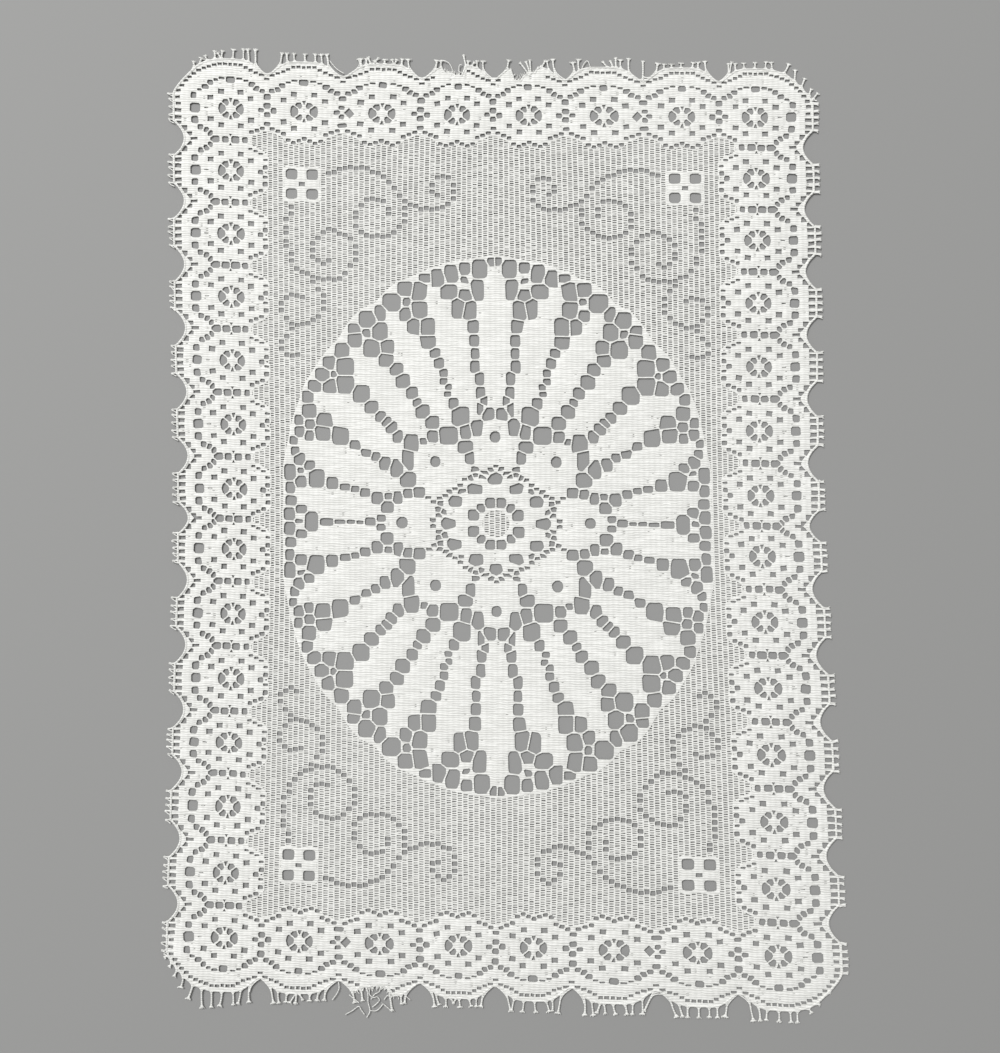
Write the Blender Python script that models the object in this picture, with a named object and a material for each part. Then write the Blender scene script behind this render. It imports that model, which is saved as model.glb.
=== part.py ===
"""Machine-made lace doily, lying flat: one lace cloth, with its cut fringes and its side picots.

Metres, +Z up. The origin is the middle of the doily, on its underside.
+X runs along the short side (across the ribs) and +Y along the long side (along the ribs).
The lace is drawn as it is made, in ribs across and courses up, and then laid down a little uneven.
"""
from math import atan2, cos, hypot, pi, radians, sin

import bmesh
import bpy
from mathutils.geometry import delaunay_2d_cdt

# Driving dimensions.
RIB = 0.00254                   # from one warp rib to the next: ten ribs to the inch
COURSE = 0.03025 / 28           # from one weft course to the next
CLOTH_THICK = 0.0010            # the lace with its padding threads
PARTING = 0.0003                # left between the cloth and its edge strips
STRIP_WIDTH = 0.0014            # the corded edge that carries the strands
STRAND_WIDTH = 0.0009
STRAND_TIP_WIDTH = 0.0015       # cut ends fray out
THREAD_WIDTH = 0.0008           # the narrowest bridge left between two openings
CLEAR_SHARE = 0.94              # of a wheel opening's width and height, inside its soft rim

# The border: a frame of round medallions, 8 across and 14 down.
MEDALLION_RIBS = 14
MEDALLION_COURSES = 28
MIDDLE_COURSES = 26             # the two middle rows of medallions stand closer
COLUMNS = [MEDALLION_RIBS * (i - 3.5) for i in range(8)]
UPPER_ROWS = [MIDDLE_COURSES / 2 + MEDALLION_COURSES * k for k in range(7)]
ROWS = [-row for row in reversed(UPPER_ROWS)] + UPPER_ROWS

# Scalloped edge, from a medallion's centre.
CREST_COURSES = 22.6            # top and bottom scallops
VALLEY_COURSES = 16.3
SCALLOP_POWER = 2.4
CREST_RIBS = 10.65              # side scallops
VALLEY_RIBS = 8.9
CREST_HALF_COURSES = 5.6        # the straight run at a side scallop's crest
TOP_TIP_COURSES = 25.6          # level at which the fringe was cut off
BOTTOM_TIP_COURSES = 27.6
PICOT_LENGTH = 0.0033

# The middle wheel: an oval of 26 petals.
WHEEL_HALF_WIDTH = 0.1000
WHEEL_HALF_HEIGHT = 0.1274
WHEEL_HALF_LIFT = 0.0012        # each half is drawn from a centre this far off the middle
WHEEL_CENTRE = (0.0005, -0.0001)


def clear_scene():
    for item in list(bpy.data.objects):
        bpy.data.objects.remove(item, do_unlink=True)


def make_material(name, colour, roughness):
    material = bpy.data.materials.new(name)
    material.use_nodes = True
    surface = material.node_tree.nodes["Principled BSDF"]
    surface.inputs["Base Color"].default_value = (*colour, 1.0)
    surface.inputs["Roughness"].default_value = roughness
    surface.inputs["Metallic"].default_value = 0.0
    return material


def lay_down(point):
    """Move a point of the flat draft to where the laid cloth has it: waisted sides, a slight skew."""
    u, v = point[0] / 0.150, point[1] / 0.220
    across = -1.5 * v + 1.5 * u * u - 0.3 * v * v - 2.0 * u * u * v + 3.9 * u * v * v + 0.85 * v ** 3
    along = -2.0 * u + 1.35 * u * v + 1.1 * u * u + 2.2 * v * v + 1.8 * u * u * v - 2.1 * u * v * v
    return (point[0] + 0.001 * across, point[1] + 0.001 * along)


# ---------------------------------------------------------------- openings

def opening(x, y, width, height, tilt=0.0):
    """One opening of the lace: centre and size in metres, tilt in radians."""
    return {"x": x, "y": y, "width": width, "height": height, "tilt": tilt}


def grid_opening(ribs, courses, width, height):
    return opening(ribs * RIB, courses * COURSE, width * RIB, height * COURSE)


def mirrored(item, flip_x, flip_y):
    return opening(WHEEL_CENTRE[0] + item["x"] * flip_x, WHEEL_CENTRE[1] + item["y"] * flip_y,
                   item["width"], item["height"], item["tilt"] * flip_x * flip_y)


def medallion_openings():
    """The two side openings of the flower in every medallion."""
    found = []
    for column in COLUMNS:
        for row in ROWS:
            if column in (COLUMNS[0], COLUMNS[-1]) or row in (ROWS[0], ROWS[-1]):
                found += [grid_opening(column + 1.9 * side, row, 1.75, 4.6) for side in (-1, 1)]
    return found


def side_openings():
    """The big square on the outer side of every side medallion."""
    return [grid_opening((COLUMNS[-1] + 6.6) * side, row, 1.8, 4.0) for side in (-1, 1) for row in ROWS]


def diamond_openings():
    """The widest opening of the diamond where the second medallion of a row meets the third."""
    return [grid_opening(27.0 * side, row, 1.85, 4.7) for side in (-1, 1) for row in (ROWS[0], ROWS[-1])]


def corner_block_openings():
    """Four square openings in each of the four dense corner blocks."""
    block_ribs, block_courses = 35.5, 148.3
    found = []
    for side in (-1, 1):
        for end in (-1, 1):
            found += [grid_opening(block_ribs * side + 1.93 * across, block_courses * end + 4.4 * up, 2.25, 4.8)
                      for across in (-1, 1) for up in (-1, 1)]
    return found


def ray_openings():
    """The larger openings in the chains between the petals, charted for one quarter of the wheel."""
    # ray: rows of angle (degrees), radius (of 1), width (degrees), height (of the radius)
    rays = {
        "level": [(-0.6, 0.868, 4.7, 0.058)],
        "first": [(10, 0.989, 3.3, 0.054), (10, 0.857, 4.7, 0.075)],
        "second": [(24.6, 0.884, 2.9, 0.064), (21.3, 0.869, 3.5, 0.065), (22.8, 0.79, 4.6, 0.075)],
        "third": [(38.7, 0.902, 3.9, 0.078), (35.3, 0.865, 5.2, 0.07), (36.5, 0.783, 5.1, 0.073),
                  (35.5, 0.718, 4.0, 0.06), (41.2, 0.952, 3.4, 0.057)],
        "fourth": [(45.3, 0.936, 3.4, 0.066), (51.2, 0.957, 4.4, 0.06), (47.6, 0.858, 4.5, 0.072),
                   (52.3, 0.882, 4.0, 0.07), (51.9, 0.816, 3.9, 0.062), (49.3, 0.783, 4.6, 0.05),
                   (50.5, 0.726, 4.7, 0.05), (49.9, 0.671, 5.2, 0.055), (58.9, 0.943, 4.6, 0.073)],
        "fifth": [(64, 0.958, 3.9, 0.05), (67.5, 0.924, 3.7, 0.07), (65.8, 0.856, 4.2, 0.063),
                  (62.1, 0.815, 3.6, 0.06), (66.4, 0.784, 4.6, 0.072), (64.8, 0.731, 5.2, 0.053),
                  (73.4, 0.941, 3.6, 0.065)],
        "sixth": [(77.4, 0.944, 3.7, 0.065), (85.8, 0.942, 4.3, 0.066), (75.9, 0.876, 5.3, 0.055),
                  (84.8, 0.859, 3.7, 0.075), (77.8, 0.808, 4.1, 0.076), (81.5, 0.79, 4.7, 0.072)],
    }
    found = []
    for rows in rays.values():
        for degrees_up, radius, spread, length in rows:
            angle = radians(degrees_up)
            out_x, out_y = WHEEL_HALF_WIDTH * cos(angle), WHEEL_HALF_HEIGHT * sin(angle)
            round_x, round_y = -WHEEL_HALF_WIDTH * sin(angle), WHEEL_HALF_HEIGHT * cos(angle)
            width = CLEAR_SHARE * radians(spread) * radius * hypot(round_x, round_y)
            height = CLEAR_SHARE * length * hypot(out_x, out_y)
            item = opening(out_x * radius, out_y * radius + WHEEL_HALF_LIFT, width, height,
                           atan2(out_y, out_x) - pi / 2)
            found += [mirrored(item, flip_x, flip_y) for flip_x in (1, -1) for flip_y in (1, -1)]
    return found


def hub_openings():
    """The larger openings round the eight inner petals, charted for one quarter of the wheel."""
    # across, up, width, height (mm)
    petals = [(8.8, 44.8, 5.4, 7.3), (16.1, 50.2, 7.9, 8.8), (21.8, 41.2, 8.5, 8.2), (33.9, 52.6, 6.5, 6.4),
              (39.2, 37.5, 7.2, 8.5), (40.8, 30.0, 5.6, 9.5), (46.0, 25.6, 6.0, 8.5), (41.0, 20.5, 7.4, 6.2)]
    found = []
    for across, up, width, height in petals:
        item = opening(across / 1000, up / 1000, CLEAR_SHARE * width / 1000, CLEAR_SHARE * height / 1000)
        found += [mirrored(item, flip_x, flip_y) for flip_x in (1, -1) for flip_y in (1, -1)]
    return found


def rounded_outline(item, corners, power):
    """Points of a rounded rectangle, anticlockwise."""
    points = []
    for corner in range(corners):
        angle = 2 * pi * (corner + 0.5) / corners
        along, up = cos(angle), sin(angle)
        along = item["width"] / 2 * abs(along) ** (2 / power) * (1 if along > 0 else -1)
        up = item["height"] / 2 * abs(up) ** (2 / power) * (1 if up > 0 else -1)
        turn_x, turn_y = cos(item["tilt"]), sin(item["tilt"])
        points.append((item["x"] + along * turn_x - up * turn_y, item["y"] + along * turn_y + up * turn_x))
    return points


def reach_towards(item, direction):
    """Half the size of an opening in one direction."""
    turn = direction - item["tilt"]
    return 0.5 / hypot(cos(turn) / item["width"], sin(turn) / item["height"])


def cut_back(points, middle, direction, bridge):
    """Keep the side of a line that lies behind it, with half a bridge taken off."""
    normal = (cos(direction), sin(direction))
    depths = [(x - middle[0]) * normal[0] + (y - middle[1]) * normal[1] + bridge / 2 for x, y in points]
    kept = []
    for index, point in enumerate(points):
        last, last_depth, depth = points[index - 1], depths[index - 1], depths[index]
        if (last_depth < 0) != (depth < 0):
            share = last_depth / (last_depth - depth)
            kept.append((last[0] + share * (point[0] - last[0]), last[1] + share * (point[1] - last[1])))
        if depth < 0:
            kept.append(point)
    return kept


def without_short_steps(points, shortest):
    kept = []
    for point in points:
        if not kept or hypot(point[0] - kept[-1][0], point[1] - kept[-1][1]) > shortest:
            kept.append(point)
    if len(kept) > 3 and hypot(kept[0][0] - kept[-1][0], kept[0][1] - kept[-1][1]) < shortest:
        kept.pop()
    return kept


def opening_outlines(openings):
    """Outlines of all openings, each cut back so that a straight bridge stays towards its neighbours."""
    outlines = []
    for item in openings:
        size = (item["width"] * item["height"]) ** 0.5
        points = rounded_outline(item, 8 if size > 0.0070 else 6, 3.2)
        for other in openings:
            gap_x, gap_y = other["x"] - item["x"], other["y"] - item["y"]
            distance = hypot(gap_x, gap_y)
            if other is item or distance > (size + max(other["width"], other["height"])):
                continue
            direction = atan2(gap_y, gap_x)
            own, theirs = reach_towards(item, direction), reach_towards(other, direction)
            share = own / (own + theirs)
            middle = (item["x"] + gap_x * share, item["y"] + gap_y * share)
            points = cut_back(points, middle, direction, THREAD_WIDTH)
        outlines.append(without_short_steps(points, 0.0006))
    return outlines




# ---------------------------------------------------------------- edge

def scallop_points(column, steps):
    """Points of one top scallop, at shares of its half width from its crest."""
    points = []
    for step in steps:
        drop = (CREST_COURSES - VALLEY_COURSES) * abs(step) ** SCALLOP_POWER
        points.append((column + step * MEDALLION_RIBS / 2, ROWS[-1] + CREST_COURSES - drop))
    return points


def side_arc(row, valley, direction):
    """A side scallop's crest and hollow arc, from the end of its straight run towards its valley."""
    points = []
    for share in (0.0, 0.25, 0.6):
        up = CREST_HALF_COURSES + (valley - CREST_HALF_COURSES) * share
        out = VALLEY_RIBS + (CREST_RIBS - VALLEY_RIBS) * (1 - share) ** 2
        points.append((COLUMNS[-1] + out, row + direction * up))
    return points


def quarter_edge():
    """The doily's edge in ribs and courses, from the middle of the top to the middle of the right side."""
    steps = (-1.0, -0.84, -0.62, -0.34, 0.0, 0.34, 0.62, 0.84)
    points = []
    for column in COLUMNS[4:7]:
        points += scallop_points(column, steps)
    points += scallop_points(COLUMNS[-1], steps[:5])
    for turn in range(82, 10, -12):
        points.append((COLUMNS[-1] + CREST_RIBS * cos(radians(turn)),
                       ROWS[-1] + CREST_COURSES * sin(radians(turn))))
    points.append((COLUMNS[-1] + CREST_RIBS, ROWS[-1]))
    for row in reversed(UPPER_ROWS):
        valley = (MEDALLION_COURSES if row > UPPER_ROWS[0] else MIDDLE_COURSES) / 2
        if row < ROWS[-1]:
            points += side_arc(row, MEDALLION_COURSES / 2, 1)[::-1]
        points += side_arc(row, valley, -1)
        points.append((COLUMNS[-1] + VALLEY_RIBS, row - valley))
    return points


def whole_edge():
    """The whole edge in metres, clockwise from the top-left: four mirrored quarters."""
    quarter = [(x * RIB, y * COURSE) for x, y in quarter_edge()]
    top_left = [(-x, y) for x, y in reversed(quarter[1:])]
    lower_right = [(x, -y) for x, y in reversed(quarter[:-1])]
    lower_left = [(-x, -y) for x, y in quarter[1:-1]]
    return top_left + quarter + lower_right + lower_left


def outward_normals(points):
    normals = []
    for index in range(len(points)):
        before, after = points[index - 1], points[(index + 1) % len(points)]
        along_x, along_y = after[0] - before[0], after[1] - before[1]
        length = hypot(along_x, along_y)
        normals.append((-along_y / length, along_x / length))
    return normals


def shifted(points, normals, distance):
    return [(x + nx * distance, y + ny * distance) for (x, y), (nx, ny) in zip(points, normals)]


# ---------------------------------------------------------------- solids

def anticlockwise(ring):
    """The ring, turned round if it runs clockwise."""
    area = sum(ring[i - 1][0] * ring[i][1] - ring[i][0] * ring[i - 1][1] for i in range(len(ring)))
    return ring if area > 0 else ring[::-1]


def flat_solid(name, rings, material):
    """A flat solid of the cloth's thickness: the first ring is its outline, the others are openings."""
    laid = [anticlockwise([lay_down(point) for point in ring]) for ring in rings]
    flat = [point for ring in laid for point in ring]
    loops, start = [], 0
    for ring in laid:
        loops.append(list(range(start, start + len(ring))))
        start += len(ring)
    triangles_inside = 1
    points, _, triangles, _, _, owners = delaunay_2d_cdt(flat, [], loops, triangles_inside, 1e-9)
    faces = [triangle for triangle, owner in zip(triangles, owners) if owner == [0]]
    body = bmesh.new()
    lower = [body.verts.new((x, y, 0.0)) for x, y in points]
    upper = [body.verts.new((x, y, CLOTH_THICK)) for x, y in points]
    used = {}
    for face in faces:
        body.faces.new([upper[i] for i in face])
        body.faces.new([lower[i] for i in reversed(face)])
        for i, j in zip(face, face[1:] + face[:1]):
            used[(i, j)] = True
    for i, j in used:
        if (j, i) not in used:
            body.faces.new([upper[j], upper[i], lower[i], lower[j]])
    bmesh.ops.triangulate(body, faces=[face for face in body.faces if len(face.verts) > 3])
    bmesh.ops.delete(body, geom=[vert for vert in body.verts if not vert.link_faces], context="VERTS")
    mesh = bpy.data.meshes.new(name)
    body.to_mesh(mesh)
    body.free()
    mesh.materials.append(material)
    solid = bpy.data.objects.new(name, mesh)
    bpy.context.scene.collection.objects.link(solid)
    return solid


def strand(root, along, direction, length):
    """Outline of one cut strand on the strip's outer edge, in the order in which the edge runs."""
    half, tip_half = STRAND_WIDTH / 2, STRAND_TIP_WIDTH / 2
    across = (direction[1], -direction[0])
    if across[0] * along[0] + across[1] * along[1] < 0:
        across = (-across[0], -across[1])
    tip = (root[0] + direction[0] * length, root[1] + direction[1] * length)
    return [(root[0] - along[0] * half, root[1] - along[1] * half),
            (tip[0] - across[0] * tip_half, tip[1] - across[1] * tip_half),
            (tip[0] + across[0] * tip_half, tip[1] + across[1] * tip_half),
            (root[0] + along[0] * half, root[1] + along[1] * half)]


def fringed_strip(name, edge, normals, strands, material):
    """The corded edge along part of the cloth, with its strands standing out in the cloth's plane."""
    outer, inner = edge, shifted(edge, normals, -STRIP_WIDTH)
    ring = [outer[0]]
    for index in range(1, len(outer)):
        start, end = outer[index - 1], outer[index]
        span = hypot(end[0] - start[0], end[1] - start[1])
        along = ((end[0] - start[0]) / span, (end[1] - start[1]) / span)
        for place, root, direction, length in strands:
            if place == index - 1:
                ring += strand(root, along, direction, length)
        ring.append(end)
    ring += reversed(inner)
    return flat_solid(name, [without_short_steps(ring, 0.0002)], material)


def roots_along(edge, wanted, aim):
    """Find where on the edge each wanted strand stands: the stretch, the point, its direction, its length."""
    strands = []
    for place in wanted:
        best = None
        for index in range(len(edge) - 1):
            start, end = edge[index], edge[index + 1]
            span = hypot(end[0] - start[0], end[1] - start[1])
            along = ((end[0] - start[0]) / span, (end[1] - start[1]) / span)
            share = (place[0] - start[0]) * along[0] + (place[1] - start[1]) * along[1]
            margin = STRAND_WIDTH * 0.75
            share = min(max(share, margin), span - margin)
            root = (start[0] + along[0] * share, start[1] + along[1] * share)
            miss = hypot(root[0] - place[0], root[1] - place[1])
            if span > 2 * margin and (best is None or miss < best[0]):
                best = (miss, index, share, root)
        if all(best[1] != index or abs(best[2] - share) > 2 * STRAND_WIDTH for index, share, _, _, _ in strands):
            strands.append((best[1], best[2], best[3], *aim(best[3])))
    strands.sort(key=lambda item: (item[0], item[1]))
    return [(index, root, direction, length) for index, _, root, direction, length in strands]


def fringe_places(end):
    """Where the strands of the top (end = 1) or bottom (end = -1) fringe stand, clockwise."""
    across = (-5.2, -3.8, -2.3, -0.7, 0.9, 2.4, 3.9, 5.2)
    level = (ROWS[-1] + CREST_COURSES - 2) * COURSE * end
    return [((column + step) * RIB, level) for column in COLUMNS for step in across]


def picot_places(side):
    """Where the picots of the right (side = 1) or left (side = -1) edge stand."""
    ups = (-5.9, -2.9, 0.0, 2.9, 5.9)
    return [((COLUMNS[-1] + CREST_RIBS) * RIB * side, (row + up) * COURSE) for row in ROWS for up in ups]


def aim_fringe(end):
    tip = (ROWS[-1] + (TOP_TIP_COURSES if end > 0 else BOTTOM_TIP_COURSES)) * COURSE

    def aim(root):
        lean = 0.06 * sin(root[0] * 900.0)
        length = hypot(lean, 1.0)
        return (lean / length, end / length), max(tip - abs(root[1]), 0.0022)
    return aim


def aim_picot(side):
    def aim(root):
        return (side, 0.0), PICOT_LENGTH
    return aim


def build():
    clear_scene()
    cotton = make_material("lace_cotton", (0.86, 0.86, 0.82), 0.85)
    border = medallion_openings() + side_openings() + diamond_openings() + corner_block_openings()
    wheel = ray_openings() + hub_openings()
    edge = whole_edge()
    normals = outward_normals(edge)
    cloth_edge = shifted(edge, normals, -STRIP_WIDTH - PARTING)
    flat_solid("lace_cloth", [cloth_edge] + opening_outlines(border + wheel), cotton)

    # The edge is parted in each corner, where the fringe gives way to the picots.
    corners = []
    for side, end in ((-1, 1), (1, 1), (1, -1), (-1, -1)):
        corner = ((COLUMNS[-1] + 0.72 * CREST_RIBS) * RIB * side, (ROWS[-1] + 0.72 * CREST_COURSES) * COURSE * end)
        corners.append(min(range(len(edge)), key=lambda i: hypot(edge[i][0] - corner[0], edge[i][1] - corner[1])))
    sides = [("top_fringe", fringe_places(1), aim_fringe(1)),
             ("right_picots", picot_places(1), aim_picot(1)),
             ("bottom_fringe", fringe_places(-1), aim_fringe(-1)),
             ("left_picots", picot_places(-1), aim_picot(-1))]
    for number, (name, places, aim) in enumerate(sides):
        first, last = corners[number], corners[(number + 1) % 4]
        picked = [i % len(edge) for i in range(first, last + 1 if last > first else last + len(edge) + 1)]
        run = [edge[i] for i in picked]
        run[0] = pulled_in(run[0], run[1])
        run[-1] = pulled_in(run[-1], run[-2])
        fringed_strip(name, run, [normals[i] for i in picked], roots_along(run, places, aim), cotton)


def pulled_in(point, towards):
    """A strip's end, half a parting short of the corner where the next strip starts."""
    span = hypot(towards[0] - point[0], towards[1] - point[1])
    share = PARTING / span
    return (point[0] + (towards[0] - point[0]) * share, point[1] + (towards[1] - point[1]) * share)


build()
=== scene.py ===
"""Looks of a machine-made lace doily laid flat on a pale floor: border, wheel, corner blocks, net, edges."""
from math import atan2, cos, hypot, pi, radians, sin, tau
from typing import NamedTuple

import bpy
import numpy as np
from mathutils.geometry import delaunay_2d_cdt
from mathutils.kdtree import KDTree
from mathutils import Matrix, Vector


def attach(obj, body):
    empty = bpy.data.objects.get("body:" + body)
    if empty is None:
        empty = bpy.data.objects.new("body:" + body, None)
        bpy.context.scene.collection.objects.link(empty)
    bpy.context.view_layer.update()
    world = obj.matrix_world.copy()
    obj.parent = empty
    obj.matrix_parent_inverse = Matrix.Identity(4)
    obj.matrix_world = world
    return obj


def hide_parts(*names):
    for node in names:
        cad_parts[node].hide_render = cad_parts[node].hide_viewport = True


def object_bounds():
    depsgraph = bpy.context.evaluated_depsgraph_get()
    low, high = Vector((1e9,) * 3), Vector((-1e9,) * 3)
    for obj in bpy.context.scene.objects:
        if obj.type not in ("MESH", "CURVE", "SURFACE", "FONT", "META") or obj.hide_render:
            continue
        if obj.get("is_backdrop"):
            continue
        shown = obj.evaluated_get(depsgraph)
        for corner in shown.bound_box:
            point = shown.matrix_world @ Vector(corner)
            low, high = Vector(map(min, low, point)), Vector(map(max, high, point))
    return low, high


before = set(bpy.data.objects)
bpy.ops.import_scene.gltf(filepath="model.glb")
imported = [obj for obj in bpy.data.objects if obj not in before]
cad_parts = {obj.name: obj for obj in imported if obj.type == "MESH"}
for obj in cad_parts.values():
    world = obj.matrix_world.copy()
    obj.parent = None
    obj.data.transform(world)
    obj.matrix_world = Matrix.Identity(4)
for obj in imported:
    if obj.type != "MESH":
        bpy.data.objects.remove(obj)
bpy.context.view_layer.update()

# ---------------------------------------------------------------- floor, camera and light
# A plain pale floor under the lace. The camera looks down from half a metre, four degrees off the upright.
# A wide soft light stands up and to the left, and the pale room fills in the rest.

FLOOR_SIDE = 4.0
FLOOR_COLOUR, FLOOR_ROUGHNESS = (0.275, 0.275, 0.27), 0.8
FLOOR_DROP = 0.00005            # keeps the floor clear of the underside of the lace
CAMERA_PLACE = (0.00247, -0.0375, 0.5149)
CAMERA_TILT = 4.0               # degrees
LENS, SENSOR = 37.6, 36.0       # millimetres
LIGHT_PLACE, LIGHT_SIDE, LIGHT_POWER = (-1.5, 1.6, 3.0), 1.6, 132.0      # metres, metres, watts
ROOM_LIGHT = 0.42

floor_mesh = bpy.data.meshes.new("floor")
half_floor = FLOOR_SIDE / 2
floor_mesh.from_pydata([(-half_floor, -half_floor, 0), (half_floor, -half_floor, 0),
                        (half_floor, half_floor, 0), (-half_floor, half_floor, 0)], [], [(0, 1, 2, 3)])
floor_finish = bpy.data.materials.new("floor_paint")
floor_finish.use_nodes = True
paint = floor_finish.node_tree.nodes["Principled BSDF"]
paint.inputs["Base Color"].default_value = (*FLOOR_COLOUR, 1.0)
paint.inputs["Roughness"].default_value = FLOOR_ROUGHNESS
floor_mesh.materials.append(floor_finish)
floor = bpy.data.objects.new("floor", floor_mesh)
bpy.context.scene.collection.objects.link(floor)
floor.location.z = -FLOOR_DROP
floor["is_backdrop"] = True

camera = bpy.data.objects.new("camera", bpy.data.cameras.new("camera"))
camera.data.lens = LENS
camera.data.sensor_width = SENSOR
camera.location = CAMERA_PLACE
camera.rotation_euler = (radians(CAMERA_TILT), 0.0, 0.0)
bpy.context.scene.collection.objects.link(camera)
bpy.context.scene.camera = camera

window = bpy.data.objects.new("window", bpy.data.lights.new("window", "AREA"))
window.data.size = LIGHT_SIDE
window.data.energy = LIGHT_POWER
window.location = LIGHT_PLACE
window.rotation_euler = (-window.location).to_track_quat("-Z", "Y").to_euler()
bpy.context.scene.collection.objects.link(window)

room = bpy.data.worlds.new("room")
room.use_nodes = True
room.node_tree.nodes["Background"].inputs["Color"].default_value = (1.0, 1.0, 1.0, 1.0)
room.node_tree.nodes["Background"].inputs["Strength"].default_value = ROOM_LIGHT
bpy.context.scene.world = room
bpy.context.scene.view_settings.view_transform = "Standard"

# ---------------------------------------------------------------- border
# A frame of forty round medallions of bleached cotton in cloth stitch, 8 across and 14 down. Each has a
# flower of eight openings round a knot, eight small squares round it, and chains of openings that part it
# from its neighbours, the net and the scalloped edge. It is made in one with the net.

# lengths are in metres where nothing else is said
RIB = 0.00254                   # from one warp rib to the next
COURSE = 0.03025 / 28           # from one weft course to the next
MEDALLION_RIBS, MEDALLION_COURSES = 14, 28
HALF_RIBS, HALF_COURSES = MEDALLION_RIBS / 2, MEDALLION_COURSES / 2
MIDDLE_COURSES = 13             # from the middle to the nearest knots, which stand closer than the others
COLUMNS = [MEDALLION_RIBS * (i - 3.5) for i in range(8)]
RIGHT_COLUMNS = COLUMNS[len(COLUMNS) // 2:]
UPPER_ROWS = [MIDDLE_COURSES + MEDALLION_COURSES * k for k in range(7)]
ROWS = [-row for row in reversed(UPPER_ROWS)] + UPPER_ROWS
chance = np.random.default_rng(7)
# how the cloth was pulled about: half its width and length, then as shares of the half width where the
# outermost knots are and how far out the middle medallions gather, and its lift
LAID_HALF, OUTERMOST_KNOTS, GATHERED_TO, LIFT = (0.150, 0.220), 0.87, 0.593, 0.00012
SHARP_FROM = 38                 # an edge bent more than this stays sharp (degrees)
# the cotton: grain of its tangle, fuzz and clouds (spots per metre), its streaks on the draft, and the
# share that each has in its light and dark (for the weft and warp lines a painted light and shade of the
# threads), and in its relief
TANGLE_GRAIN, FUZZ_GRAIN, CLOUD_GRAIN = 300.0, 2600.0, 45.0
SLACK_STREAKS, YARN_STREAKS, YARN_GRAIN = (0.22, 0.9, 0.0), (0.35, 1.6, 0.0), 1.3
WEFT_SHADING_TONE, WARP_SHADING_TONE, YARN_TONE, CLOUD_TONE, FUZZ_TONE, DARKENED = 0.12, 0.05, 0.9, 0.45, 0.25, 0.28
WEFT_WAVER = 0.9                # how far the tangle shifts the weft lines (courses)
# thin places: where in the streaks they begin, how sharply and how softly, and the painted shade in the
# groove lines between their wefts, as a power that makes them narrow and a share in the dark
OPEN_FROM, OPEN_SHARP, OPEN_SOFT, GROOVE_NARROW, GROOVE_SHADE_TONE = 0.43, 5.0, 0.1, 3.0, 2.4
WEFT_RISE, WARP_RISE, YARN_RISE, FUZZ_RISE, BUMP_STRENGTH = 0.5, 0.35, 0.8, 0.7, 0.55
COTTON_SPECULAR, COTTON_SHEEN, SHEEN_ROUGHNESS = 0.25, 0.12, 0.5
ROUGHEST, LESS_ROUGH = 0.95, 0.2        # in the dark, and how much smoother it is in the light
THREAD = 0.00048                # the least that is left between two openings
PULL = 0.0011                   # cloth narrower than this between two openings is drawn up to a thread
RIM_CORNERS = 8                 # corners of a rounded opening
UNEVEN_RIM = 0.00006            # how far the corners of a rim stray
SHORTEST_SIDE = 0.00016         # of a rim
NEIGHBOUR_REACH = 1.5           # how far off a neighbour may be, where 1 is the widest opening
RIM_STRETCH = 1.5               # how strongly a rim is drawn towards its neighbour
ROUNDED = 4.0                   # roundness of most openings, as a power: 2 is an oval, more is squarer
DRAWN_IN = 0.0                  # stands for the roundness of a square whose sides are drawn in
DRAWN_IN_RIM = [(0.95, 0), (1, 1), (0, 0.94), (-1, 1), (-0.95, 0), (-1, -1), (0, -0.94), (1, -1)]
CLOTH_BASE = 0.00012
THREAD_THICK, CLOTH_THICK = 0.00042, 0.00068        # of a single thread and of solid cloth
FULL_THICK_AT = 0.0022          # how far in from an opening the cloth is at its thickest
THREAD_BULGE = 0.00009          # how far the middle of a thread's side stands out
# ribs and unevenness raised on the cloth, and how far in from an opening they begin
RIB_RELIEF, UNEVEN_RELIEF, RELIEF_FROM = 0.00005, 0.00003, 0.0003
GRAIN = (0.5, 1.0)              # spacing of the raised surface's points (ribs, courses)
RIM_STEP = 0.0005               # spacing of the places along the rims that the surface keeps clear of
STRAY_RIBS, STRAY_COURSES, STRAY_TURN = 0.03, 0.07, 0.05    # how far an opening strays (turn in radians)
OPENING_SIZES, FLOWER_SIZES = (0.99, 1.11), (1.0, 1.09)     # least and greatest, where 1 is as in the tables
CREST_COURSES, VALLEY_COURSES, SCALLOP_POWER = 22.5, 16.4, 2.06   # top and bottom scallops
CREST_RIBS, VALLEY_RIBS, CREST_HALF_COURSES = 10.7, 8.7, 6.0     # side scallops
# the flower's openings in millimetres from the knot, one of each kind, mirrored to the other sides
FLOWER_SIDE = [(2.4, 0.0), (2.73, -1.2), (4.85, -2.8), (5.85, -2.0), (6.25, 0.0), (5.85, 2.0), (4.85, 2.8),
               (2.73, 1.2)]
FLOWER_SLANT = [(1.05, 1.7), (1.95, 1.2), (4.28, 3.08), (3.4, 4.3), (1.45, 4.35), (0.8, 2.7)]
FLOWER_TIP = [(0.0, 2.9), (0.5, 3.9), (0.88, 5.15), (-0.9, 5.1), (-0.48, 3.9)]
MEETING_TIP = [(0.0, 1.45), (0.82, 2.85), (-0.82, 2.85)]      # from the middle of a meeting row
MEETING_OUT = 0.1               # how far that middle is out from the knots (ribs)
DIAMOND_SIDE = [(0.5, 0.0), (2.8, 2.5), (5.3, -0.5), (3.1, -2.8)]    # from the middle of a diamond
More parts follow.
